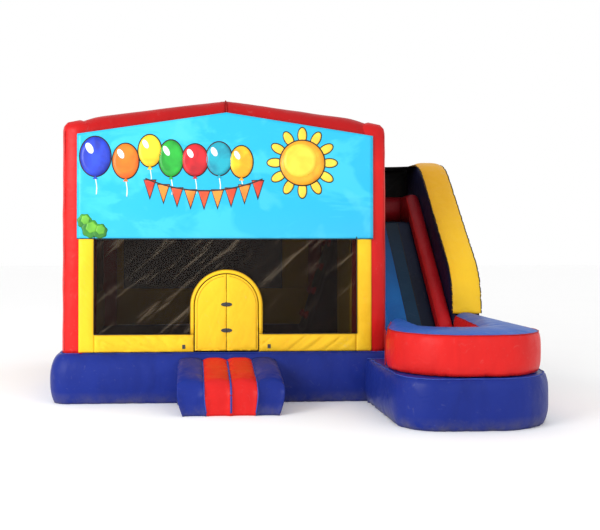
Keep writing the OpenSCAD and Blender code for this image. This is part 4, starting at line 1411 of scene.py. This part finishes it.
def cover_at(u, v):
    s = v * (flat_len + drop - 0.03)
    turn, level = 0.10, flat_len - 0.115  # the radius it turns down in, and where that starts
    bow = math.sin(math.pi * u)
    if s < level:
        y = a[1] + s
        z = a[5] - 0.005 - 0.035 * bow * math.sin(math.pi * min(1, s / flat_len)) - 0.02 * bow
    else:
        q = min((s - level) / turn, math.pi / 2)
        y = a[1] + level + turn * math.sin(q)
        z = a[5] - 0.005 - turn * (1 - math.cos(q)) - (s - level - turn * q) - 0.02 * bow * math.cos(q)
        y -= abs(noise.noise(Vector((u * 5, z / 0.5, 2)))) * 0.02 * math.sin(q)
    # the drop is wider than the roof: it closes the gap behind the side wall
    reach = 0.024 + 0.046 * min(1, max(0, (y - 1.13) / 0.03))
    return a[0] + (a[3] + reach - a[0]) * u, y, max(z, a[2])


cover = panel("platform_shade", 40, 60, cover_at, 0.002, SHADE)
finish_piece(cover, "root", "black_netting", "slide_roof_cover")

# ---------------------------------------------------------------- climbing wall
a = box("climbing_wall")
ang = math.atan2(0.58, a[5] - a[2])
rings = []
for i in range(31):
    t = i / 30
    y = a[1] + (a[4] - a[1]) * t
    f = 1 - abs(2 * t - 1) ** 2.6
    row = []
    for j in range(21):
        s = j / 20
        x = a[0] + (2.0 - a[0]) * s
        z = a[2] + (a[5] - a[2]) * s
        lane = abs(math.sin(math.pi * 4 * t))
        d = 0.03 * (f - 1) - 0.018 * (1 - lane) - ridged((x, y, z), 0.2, 2.0) * 0.006
        row.append(Vector((x - d * math.cos(ang), y, z + d * math.sin(ang) * 0.3 if j < 20 else z)))
    row += [Vector((x, y, z)) for x, z in ((2.11, a[5] - 0.01), (a[3], a[5]), (a[3], a[2]), (1.8, a[2]))]
    rings.append(row)
padded(loft("climb_chamber", rings, NAVY), 0.85, "navy_vinyl", "climbing_wall")
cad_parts["climbing_grips"].data.materials[0] = GRIP

# ---------------------------------------------------------------- small parts and blower
for node in ("ring_front_left", "ring_rear_left", "ring_front_right", "ring_rear_right", "zip_slider"):
    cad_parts[node].data.materials[0] = STEEL
for node, mat in (("blower_housing", CASING), ("blower_motor", DARK_METAL), ("blower_impeller", DARK_METAL),
                  ("intake_grille", DARK_METAL), ("blower_switch", ROCKER), ("anchor_tabs", WEB),
                  ("deflate_zip", WEB), ("sleeve_strap", WEB), ("inlet_sleeve", BLUE)):
    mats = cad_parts[node].data.materials
    for i in range(len(mats)):
        mats[i] = mat
a = box("inlet_sleeve")
cx, cz, r = (a[0] + a[3]) / 2, (a[2] + a[5]) / 2, (a[3] - a[0]) / 2
st = box("sleeve_strap")
ym = (st[1] + st[4]) / 2
path = [(cx, a[1] + 0.02 + (a[4] - a[1] - 0.02) * i / 40, cz) for i in range(41)]
rings = []
for p in path:
    y = p[1]
    tight = math.exp(-((y - ym) / 0.035) ** 2)
    row = []
    for k in range(48):
        t = 2 * math.pi * k / 48
        fold = 0.004 * math.sin(9 * t + 2 * y) + 0.003 * math.sin(17 * t)
        rr = r + 0.006 * (1 - tight) + fold * (1 - 0.4 * tight) - 0.003 * tight
        rr = max(rr, r - 0.003)
        row.append(Vector((cx + rr * math.cos(t), y, cz + rr * math.sin(t))))
    rings.append(row)
verts, faces = skin_rings(rings, ends=False)
o = mesh_object("air_sleeve", verts, faces, BLUE)
modifier(o, "SOLIDIFY", thickness=0.003, offset=-1)
finish_piece(o, "root", "blue_vinyl", "inlet_sleeve")
a = box("deflate_zip")
for s, z in (("upper", 0.006), ("lower", -0.006)):  # zip teeth
    verts, faces = [], []
    n = 110
    for k in range(n):
        x = a[0] + 0.012 + (a[3] - a[0] - 0.024) * (k + (0.5 if s == "lower" else 0)) / n
        zc = (a[2] + a[5]) / 2 + z
        w, h, d = 0.0022, 0.005, 0.003
        y = a[4]
        c = len(verts)
        verts += [(x - w, y, zc - h), (x + w, y, zc - h), (x + w, y, zc + h), (x - w, y, zc + h),
                  (x - w, y + d, zc - h), (x + w, y + d, zc - h), (x + w, y + d, zc + h), (x - w, y + d, zc + h)]
        faces += [(c, c + 3, c + 2, c + 1), (c + 4, c + 5, c + 6, c + 7), (c, c + 1, c + 5, c + 4),
                  (c + 1, c + 2, c + 6, c + 5), (c + 2, c + 3, c + 7, c + 6), (c + 3, c, c + 4, c + 7)]
    o = mesh_object("zip_teeth_" + s, verts, faces, DARK_METAL, smooth=False)
    finish_piece(o, "root", "steel")

# ---------------------------------------------------------------- stage
me = bpy.data.meshes.new("studio_floor")
me.from_pydata([(x, y, -0.002) for x, y in ((-90, -90), (90, -90), (90, 90), (-90, 90))], [], [(0, 1, 2, 3)])
studio = bpy.data.objects.new("studio_floor", me)
scene.collection.objects.link(studio)
g = Graph("studio_floor")
c = g.mix(g.noise(0.6, 3), (0.985, 0.985, 0.985, 1), (0.965, 0.965, 0.965, 1))
g.colour(c)
g.set("Roughness", 0.9)
me.materials.append(g.mat)

world = bpy.data.worlds.new("studio")
scene.world = world
world.use_nodes = True
backdrop = world.node_tree.nodes["Background"].inputs
backdrop["Color"].default_value = (1.0, 1.0, 1.0, 1)
backdrop["Strength"].default_value = 1.0


def area_light(name, where, target, size, watts):
    d = bpy.data.lights.new(name, "AREA")
    d.size = size
    d.energy = watts
    o = bpy.data.objects.new(name, d)
    scene.collection.objects.link(o)
    o.location = where
    o.rotation_mode = "QUATERNION"
    o.rotation_quaternion = (Vector(target) - Vector(where)).to_track_quat("-Z", "Y")


area_light("key", (-9.5, -12.0, 5.5), (-1.5, -2.0, 1.8), 6.0, 1300)
area_light("fill", (7.0, -15.0, 5.0), (1.5, -2.0, 1.5), 7.0, 150)
